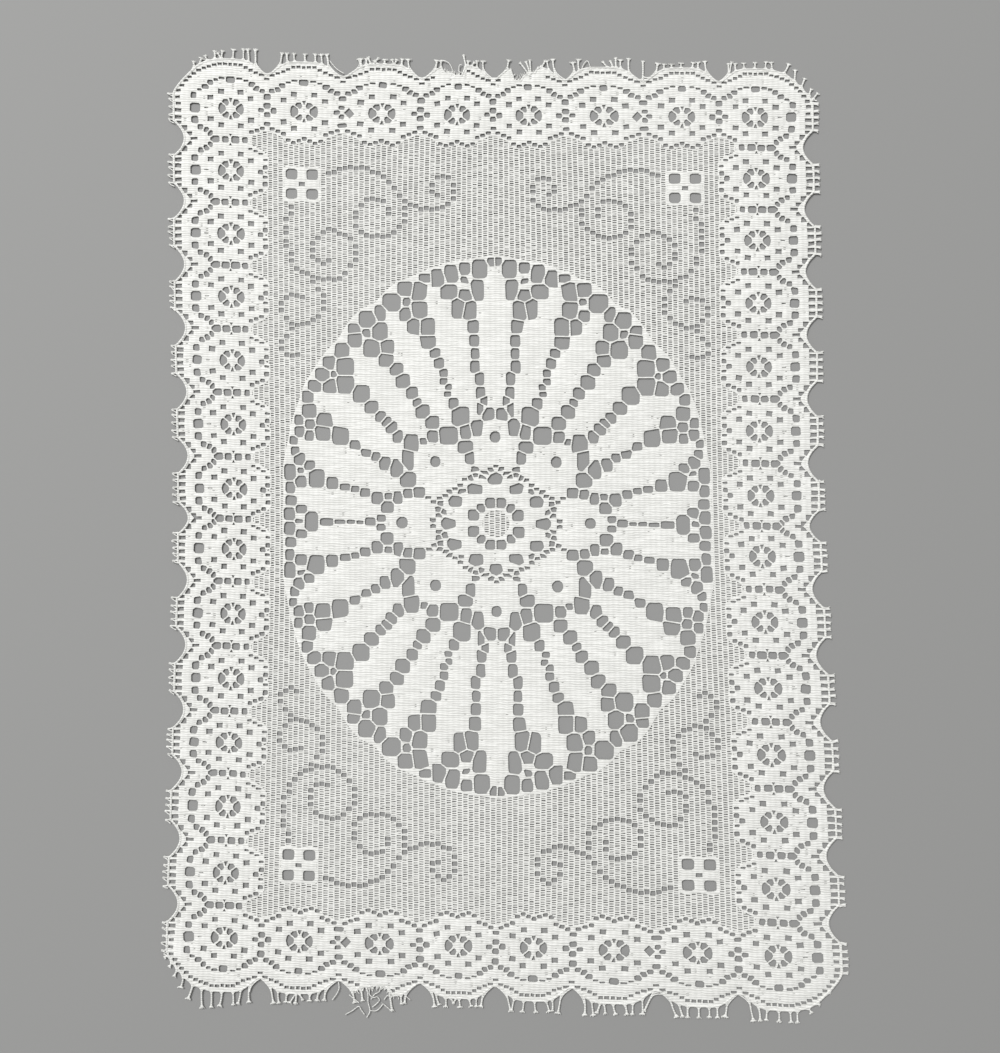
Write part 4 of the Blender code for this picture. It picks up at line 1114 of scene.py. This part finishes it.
# warp ends of each scallop from the left: root and tip across (ribs), both from the middle of the
# scallop, how far out the tip is (courses past the knot) and how wide it spreads (ribs)
TOP_ENDS = [
    [(-7.0, -7.15, 21.5, 0.4), (-6.0, -5.6, 23.2, 1.0), (-4.5, -5.0, 24.4, 0.35), (-3.2, -3.2, 26.6, 0.6),
     (-2.0, -2.65, 25.9, 0.4), (-2.0, -1.7, 26.9, 0.6), (0.25, 0.4, 27.9, 0.85), (2.3, 2.35, 28.2, 0.6),
     (3.3, 3.15, 28.3, 0.75), (4.55, 4.6, 28.4, 0.8)],
    [(-4.65, -4.3, 27.2, 0.6), (-3.25, -3.4, 27.2, 0.6), (-1.9, -2.05, 27.2, 0.55), (0.1, 0, 27.2, 0.65),
     (1.95, 1.9, 27.2, 0.6), (3.1, 2.95, 27.2, 0.7), (4.2, 3.9, 27.3, 0.6)],
    [(-4.1, -4.6, 25.6, 0.5), (-4.1, -4.2, 25.7, 0.6), (-3.3, -3.3, 25.7, 0.5), (-2.4, -3.0, 26.4, 0.3),
     (-2.3, -1.25, 26.2, 0.35), (-1.2, -1.9, 25.0, 0.35), (-0.1, -0.1, 25.6, 0.75), (1.5, 1.2, 25.6, 0.45),
     (1.5, 2.0, 25.5, 0.45), (2.9, 3.0, 26.0, 0.6), (4.3, 4.05, 26.0, 0.95)],
    [(-4.8, -4.6, 25.7, 0.9), (-3.65, -3.75, 25.5, 0.8), (1.25, 0.65, 28.2, 0.25), (1.6, 1.65, 25.6, 0.7),
     (2.2, 2.9, 25.0, 0.35), (3.45, 3.45, 25.7, 0.6), (4.7, 4.6, 25.7, 0.95)],
    [(-4.4, -4.05, 26.3, 0.85), (0, -1.75, 25.1, 0.25), (0.1, -0.6, 25.6, 0.35), (0.3, 0.2, 26.3, 0.3),
     (1.6, 2.4, 23.6, 0.5), (2.3, 3.2, 26.0, 0.4), (3.9, 3.55, 26.3, 0.9), (5.1, 4.7, 27.0, 0.95)],
    [(-5.2, -5.6, 25.6, 1.0), (-4.5, -4.5, 27.0, 0.85), (0.7, -0.15, 26.0, 0.3), (1.6, 1.15, 26.3, 0.2),
     (2.1, 2.1, 27.8, 0.35), (2.9, 2.9, 27.0, 0.85), (4.3, 4.3, 27.5, 0.6), (6.6, 6.7, 26.3, 0.4)],
    [(-5.0, -4.7, 25.5, 1.0), (-3.6, -3.6, 25.2, 0.6), (-2.3, -2.3, 25.2, 1.0), (-0.55, -0.5, 25.7, 0.9),
     (1.55, 1.75, 26.0, 0.85), (2.7, 2.7, 26.2, 0.9), (4.2, 3.95, 26.7, 0.85)],
    [(-5.4, -5.5, 25.7, 0.5), (-5.3, -4.9, 26.4, 0.5), (-4.1, -4.2, 25.7, 0.6), (-2.5, -2.6, 26.0, 0.75),
     (-0.5, -0.4, 26.3, 0.75), (1.65, 1.75, 26.8, 0.8), (2.85, 2.7, 26.5, 0.7), (5.0, 5.95, 25.7, 0.7),
     (7.0, 7.15, 22.9, 0.7), (8.2, 8.9, 18.8, 0.45), (9.6, 10.1, 13.9, 0.45), (10.3, 11.3, 11.8, 0.45)],
]
BOTTOM_ENDS = [
    [(-10.3, -10.8, 10.0, 0.4), (-9.5, -9.9, 13.8, 0.4), (-8.4, -8.9, 17.7, 0.45), (-7.3, -7.6, 22.4, 0.9),
     (-5.4, -6.15, 27.2, 0.9), (-3.8, -3.55, 30.8, 0.75), (-2.0, -1.85, 30.5, 0.7),
     (0, -0.3, 29.8, 0.85), (2.1, 2.3, 29.0, 0.5), (3.6, 3.2, 28.5, 0.45), (5.2, 5.2, 27.7, 0.8)],
    [(-5.0, -4.3, 27.9, 0.9), (-3.6, -3.3, 27.8, 0.75), (-1.9, -2.0, 27.2, 0.7), (-0.2, -1.3, 27.5, 0.45),
     (-0.2, -0.3, 27.7, 0.6), (0.2, 1.0, 26.0, 0.3), (2.2, 2.2, 26.5, 0.65), (3.8, 3.5, 26.2, 0.65),
     (4.9, 4.7, 26.0, 0.6)],
    [(-4.7, -4.3, 26.6, 0.6), (-3.4, -3.0, 25.7, 0.45), (1.5, 1.9, 29.5, 0.5), (3.5, 3.55, 26.5, 0.45),
     (4.3, 4.1, 26.1, 0.45)],
    [(-5.1, -4.6, 27.3, 0.9), (-4.3, -3.75, 26.4, 0.6), (-2.5, -2.5, 27.1, 0.7), (-1.6, -1.1, 25.4, 0.25),
     (-0.5, -1.05, 25.4, 0.25), (0, 0.15, 27.1, 1.05), (1.9, 2.3, 26.6, 0.85), (3.3, 3.3, 26.6, 0.7),
     (4.6, 4.2, 26.6, 0.85)],
    [(-4.9, -4.05, 27.9, 0.6), (-3.4, -3.85, 27.9, 0.6), (-1.6, -1.8, 28.1, 0.75), (0.4, 0.75, 28.1, 0.65),
     (2.5, 3.2, 27.7, 0.95), (3.65, 3.8, 27.2, 0.35), (5.2, 4.8, 28.2, 0.8)],
    [(-4.9, -4.55, 28.6, 0.8), (-3.5, -3.1, 28.6, 0.8), (-2.0, -2.5, 27.4, 0.45), (-1.5, -1.15, 27.7, 0.45),
     (0, 0.5, 27.8, 0.65), (1.9, 2.3, 27.8, 0.7), (3.2, 3.2, 27.6, 0.5), (4.7, 4.8, 27.4, 0.7),
     (6.6, 5.1, 25.8, 0.25)],
    [(-4.9, -3.85, 28.0, 0.8), (-3.5, -2.9, 27.8, 0.55), (-2.0, -2.05, 28.0, 0.6), (-0.2, -0.2, 28.0, 0.6),
     (1.6, 1.6, 27.6, 0.75), (3.0, 3.0, 27.6, 0.65), (4.7, 4.3, 27.2, 1.2)],
    [(-5.4, -4.8, 28.3, 0.95), (-3.9, -3.65, 28.0, 0.7), (-2.3, -2.55, 27.6, 0.55), (-0.35, -0.35, 28.0, 0.8),
     (1.65, 1.75, 28.0, 0.75), (2.9, 2.85, 27.9, 0.5), (4.6, 5.2, 23.8, 0.55), (6.1, 6.6, 20.3, 0.3),
     (8.2, 8.4, 15.3, 0.3)],
]
# fine threads pulled out of the scallops: number of the scallop, then points as for the tips above
TOP_LOOSE = [
    (1, [(7.1, 17.9), (6.0, 19.6), (5.2, 21.8), (4.7, 23.5)]),
    (3, [(-3.6, 24.8), (-2.5, 24.3), (-1.75, 22.9), (-1.2, 20.2), (-1.45, 17.6)]),
    (3, [(0.2, 18.5), (0.05, 21), (0.15, 22.6), (0.6, 23)]),
    (5, [(-3.9, 20.5), (-3.4, 23.6), (-2.7, 25.4), (-2.3, 23.5), (-2.1, 21.2)]),
]
BOTTOM_LOOSE = [
    (1, [(7.0, 16.9), (7.1, 19.6), (6.7, 22.2), (6.0, 24.8)]),
    (2, [(-5.2, 22.3), (-4.4, 24), (-3.6, 25.6)]),
    (2, [(-5.8, 30.9), (-4.7, 29.2), (-3.65, 27.2), (-3.2, 28.8), (-2.7, 30.6)]),
    (2, [(-1.6, 17.6), (-1.9, 21.5), (-1.2, 23.2), (-0.6, 22.8), (-0.2, 24.2), (-0.8, 26.1), (-1.4, 27.3)]),
    (2, [(-2.3, 18.2), (-2.1, 22.5), (-2.1, 25.2), (-1.8, 29), (-2.35, 31.9)]),
    (2, [(-1.8, 28.9), (-0.7, 28.8), (0.3, 26.1), (0.1, 25.2), (1.1, 27.2), (1.9, 29)]),
    (2, [(0.1, 17.6), (-0.2, 20.5), (-1.0, 21.8), (-1.6, 24)]),
    (2, [(0.6, 24), (1.0, 22.5), (1.5, 21.5), (1.5, 18.8)]),
    (2, [(4.4, 22.3), (5.1, 23.7)]),
]
# where the edge is worn to a fuzz: end (1 is the top), number of the scallop, from and to (ribs)
WORN = [(1, 3, -3.2, 1.1), (1, 4, -3.1, 1.6), (-1, 2, -4.6, 2.6)]
FUZZ_STEP, FUZZ_SPREAD, FUZZ_LONG, FUZZ_LEAN = 0.28, 0.0007, 0.0024, 0.3    # the step is in ribs
# feet that join a warp end to the cord: half their thickness, the share of a warp end that they may reach
# up to, and how far along the cord and up the warp end they go
FOOT_HALF, FOOT_TOP = 0.00036, 0.6
NEAR_FEET = [(0.0020, 0.0020)]
VALLEY_FEET = [(0.0050, 0.0038), (0.0030, 0.0022)]    # where the scallop falls away beside it


def yarn(path, halves, sides, flat):
    """A soft thread along a path, as the points and faces of a closed tube."""
    path = np.array(path, float)
    along = np.gradient(path[:, :2], axis=0)
    along /= np.hypot(*along.T)[:, None].clip(1e-9)
    across = np.column_stack((-along[:, 1], along[:, 0]))
    angles = tau * (np.arange(sides) + 0.5) / sides
    halves = np.broadcast_to(halves, len(path))
    heights = np.minimum(halves, CORD_HALF) * flat
    rings = np.empty((len(path), sides, 3))
    rings[..., :2] = path[:, None, :2] + across[:, None, :] * (halves[:, None] * np.cos(angles))[..., None]
    rings[..., 2] = path[:, None, 2] + heights[:, None] * np.sin(angles)
    return rings.reshape(-1, 3), tube_faces(0, len(path), sides)


def joined(parts):
    points, faces, count = [], [], 0
    for part_points, part_faces in parts:
        points.append(part_points)
        faces += [tuple(count + i for i in face) for face in part_faces]
        count += len(part_points)
    return np.vstack(points), faces


def bent(start, end, bow, level, shares):
    """A path from start to end, bowed aside by a share of its length; level is its height."""
    start, end = np.array(start, float), np.array(end, float)
    share = np.array(shares)[:, None]
    span = end - start
    side = np.array([-span[1], span[0]]) * bow
    flat = start + span * share + side * np.sin(share * pi)
    return np.column_stack((flat, np.full(len(share), level)))


def curved(first, middle, last, level):
    """A path from first to last that leans towards the middle point."""
    share = np.linspace(0, 1, CURVE_STEPS)[:, None]
    flat = first * (1 - share) ** 2 + middle * 2 * share * (1 - share) + last * share ** 2
    return np.column_stack((flat, np.full(len(share), level)))


def smooth(points, level):
    """A rounded path through all the points, as a Catmull-Rom curve."""
    points = np.array(points, float)
    before, after = points[0] * 2 - points[1], points[-1] * 2 - points[-2]
    padded = np.vstack((before, points, after))
    share = np.linspace(0, 1, SMOOTH_STEPS, endpoint=False)[:, None]
    runs = []
    for a, b, c, d in zip(padded, padded[1:], padded[2:], padded[3:]):
        runs.append(b + share * (c - a) / 2 + share ** 2 * (a - 2.5 * b + 2 * c - d / 2)
                    + share ** 3 * (1.5 * (b - c) + (d - a) / 2))
    flat = np.vstack(runs + [points[-1:]])
    return np.column_stack((flat, np.full(len(flat), level)))


def frayed(tip, out, spread, count, long):
    """Short fine fibres that stand out of a cut end, fanned over its width."""
    parts = []
    for number in range(count):
        place = number / (count - 1) - 0.5
        angle = place * FAN + chance.normal(0, FAN_STRAY)
        way = np.array([out[0] * cos(angle) - out[1] * sin(angle), out[0] * sin(angle) + out[1] * cos(angle)])
        foot = tip + np.array([-out[1], out[0]]) * place * spread * FAN_WIDTH - out * ROOTED
        end = foot + way * (ROOTED + long * chance.uniform(*WISP_SIZES))
        wisp = bent(foot, end, chance.normal(0, WISP_BOW),
                    STRAND_LEVEL + chance.uniform(-WISP_STRAY, WISP_STRAY), WISP_SHARES)
        parts.append(yarn(wisp, WISP_HALVES, *FIBRE_ROUND))
    return parts


def on_edge(x, end):
    """The point of the edge above (end = 1) or below x, on the top or bottom scallops."""
    line = np.array([point for point in edge_line if point[1] * end > (ROWS[-1] + EDGE_FROM) * COURSE])
    line = line[np.argsort(line[:, 0])]
    return np.array([x, np.interp(x, line[:, 0], line[:, 1]) - end * ROOTED])


def warp_end(root, tip, width, end, feet):
    """One cut warp end: feet join it to the cord on both sides, and it frays out at its tip."""
    span = tip - root
    out = span / hypot(*span)
    path = bent(root, tip, chance.normal(0, STRAND_BOW), STRAND_LEVEL, STRAND_SHARES)
    halves = STRAND_HALF * chance.uniform(*STRAND_SIZES) * STRAND_SHAPE
    halves[-1] = width * RIB / 2        # it spreads to its cut end
    halves[-2] = (halves[-3] + 1.5 * halves[-1]) / 2.5
    parts = [yarn(path, halves, *CORD_ROUND)]
    for side in (-1, 1):
        for run, rise in feet[side]:
            foot = on_edge(root[0] + side * run, end)
            top = root + out * min(rise, FOOT_TOP * hypot(*span))
            parts.append(yarn(curved(foot, root + out * ROOTED, top, STRAND_LEVEL), FOOT_HALF, *FINE_ROUND))
    return parts + frayed(tip, out, width * RIB, WISPS, WISP_LONG)


def fuzz(end):
    """Short broken fibres where the edge of this end is worn."""
    parts = []
    for worn_end, number, low, high in WORN:
        for across in np.arange(low, high, FUZZ_STEP) if worn_end == end else ():
            foot = on_edge((COLUMNS[number] + across) * RIB, end)
            parts += frayed(foot, np.array([chance.normal(0, FUZZ_LEAN), end]), FUZZ_SPREAD, 2, FUZZ_LONG)
    return parts


def fringe(ends, loose, end):
    """All warp ends of the top (end = 1) or the bottom, and the fine threads pulled out there."""
    parts = fuzz(end)
    for column, row in zip(COLUMNS, ends):
        for number, (across, tip_across, level, width) in enumerate(row):
            feet = {-1: NEAR_FEET, 1: NEAR_FEET}
            if number == 0 and column != COLUMNS[0]:
                feet[-1] = VALLEY_FEET
            if number == len(row) - 1 and column != COLUMNS[-1]:
                feet[1] = VALLEY_FEET
            shift = TOP_SHIFT if end > 0 else 0.0
            tip = np.array([(column + tip_across + shift) * RIB, (ROWS[-1] + level - TUFT) * COURSE * end])
            parts += warp_end(on_edge((column + across + shift) * RIB, end), tip, width, end, feet)
    for number, places in loose:
        path = [((COLUMNS[number] + across) * RIB, (ROWS[-1] + level) * COURSE * end)
                for across, level in places]
        parts.append(yarn(smooth(path, STRAND_LEVEL + LOOSE_ABOVE), LOOSE_HALF, *FINE_ROUND))
    return parts


def tongue_picot(x, y):
    """A picot of the right side: a soft solid tongue with a frayed end."""
    long, half = chance.uniform(*TONGUE_LONG), chance.uniform(*TONGUE_HALF)
    tip = np.array([x + long, y + chance.normal(0, TONGUE_STRAY)])
    path = bent((x, y), tip, chance.normal(0, TONGUE_BOW), STRAND_LEVEL, TONGUE_SHARES)
    wisps = frayed(tip, np.array([1.0, 0.0]), TONGUE_FAN * half, TONGUE_WISPS, TONGUE_WISP_LONG)
    return [yarn(path, half * TONGUE_SHAPE, *TONGUE_ROUND)] + wisps


def loop_picot(x, y):
    """A picot of the left side: a fine thread out to a knotted tip, and slanting back into the cord."""
    tip = np.array([x - chance.uniform(*LOOP_LONG), y + chance.normal(0, LOOP_STRAY)])
    back = np.array([x, y - chance.uniform(*LOOP_BACK)])
    out = bent((x, y + ROOTED), tip, chance.normal(0, LOOP_BOW), STRAND_LEVEL, LOOP_SHARES)
    home = bent(tip, back, chance.normal(0, LOOP_BOW), STRAND_LEVEL, LOOP_BACK_SHARES)
    return [yarn(out, LOOP_HALVES, *LOOP_ROUND), yarn(home, LOOP_BACK_HALF, *FINE_ROUND)]


def picots(side):
    parts = []
    for row in ROWS:
        for up in PICOT_UPS:
            x = (COLUMNS[-1] + CREST_RIBS) * RIB - ROOTED
            y = (row + up) * COURSE + chance.normal(0, PICOT_STRAY)
            parts += tongue_picot(x, y) if side > 0 else loop_picot(-x, y)
    return parts


def cord_run(first, last):
    """The cord from one corner of the edge to the next, clockwise."""
    picked = [edge_line[i % len(edge_line)] for i in range(first, last + 1)]
    path = np.array([(x * CORD_INSET[0], y * CORD_INSET[1], CORD_LEVEL) for x, y in picked])
    return yarn(path, CORD_HALF * chance.uniform(*CORD_SIZES, len(path)), *CORD_ROUND)


def nearest_on_edge(x, y):
    return min(range(len(edge_line)), key=lambda i: hypot(edge_line[i][0] - x, edge_line[i][1] - y))


turn_x = (COLUMNS[-1] + CORNER_SHARE * CREST_RIBS) * RIB
turn_y = (ROWS[-1] + CORNER_SHARE * CREST_COURSES) * COURSE
corners = [nearest_on_edge(x * turn_x, y * turn_y) for x, y in ((-1, 1), (1, 1), (1, -1), (-1, -1))]
top_left, top_right, low_right, low_left = corners
top_parts = [cord_run(top_left, top_right)] + fringe(TOP_ENDS, TOP_LOOSE, 1)
top_edge = lay_piece("top_edge", *joined(top_parts), lace_cotton)
right_edge = lay_piece("right_edge", *joined([cord_run(top_right, low_right)] + picots(1)), lace_cotton)
bottom_parts = [cord_run(low_right, low_left)] + fringe(BOTTOM_ENDS, BOTTOM_LOOSE, -1)
bottom_edge = lay_piece("bottom_edge", *joined(bottom_parts), lace_cotton)
left_parts = [cord_run(low_left, top_left + len(edge_line))] + picots(-1)
left_edge = lay_piece("left_edge", *joined(left_parts), lace_cotton)
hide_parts("top_fringe")
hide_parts("bottom_fringe")
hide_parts("left_picots")
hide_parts("right_picots")

# The whole lace is one sheet. Its flat size is the cloth within the cord, and the area worked out here is
# that of the border band without its flowers. The area declared is that of the border band without its
# flowers, because the border is the piece that is measured.
flat_width, flat_length = 2 * (COLUMNS[-1] + CREST_RIBS) * RIB, 2 * (ROWS[-1] + CREST_COURSES) * COURSE
band_area = ring_area(edge_line) - ring_area(inner_line) - sum(ring_area(ring) for ring in flowers)

low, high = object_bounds()
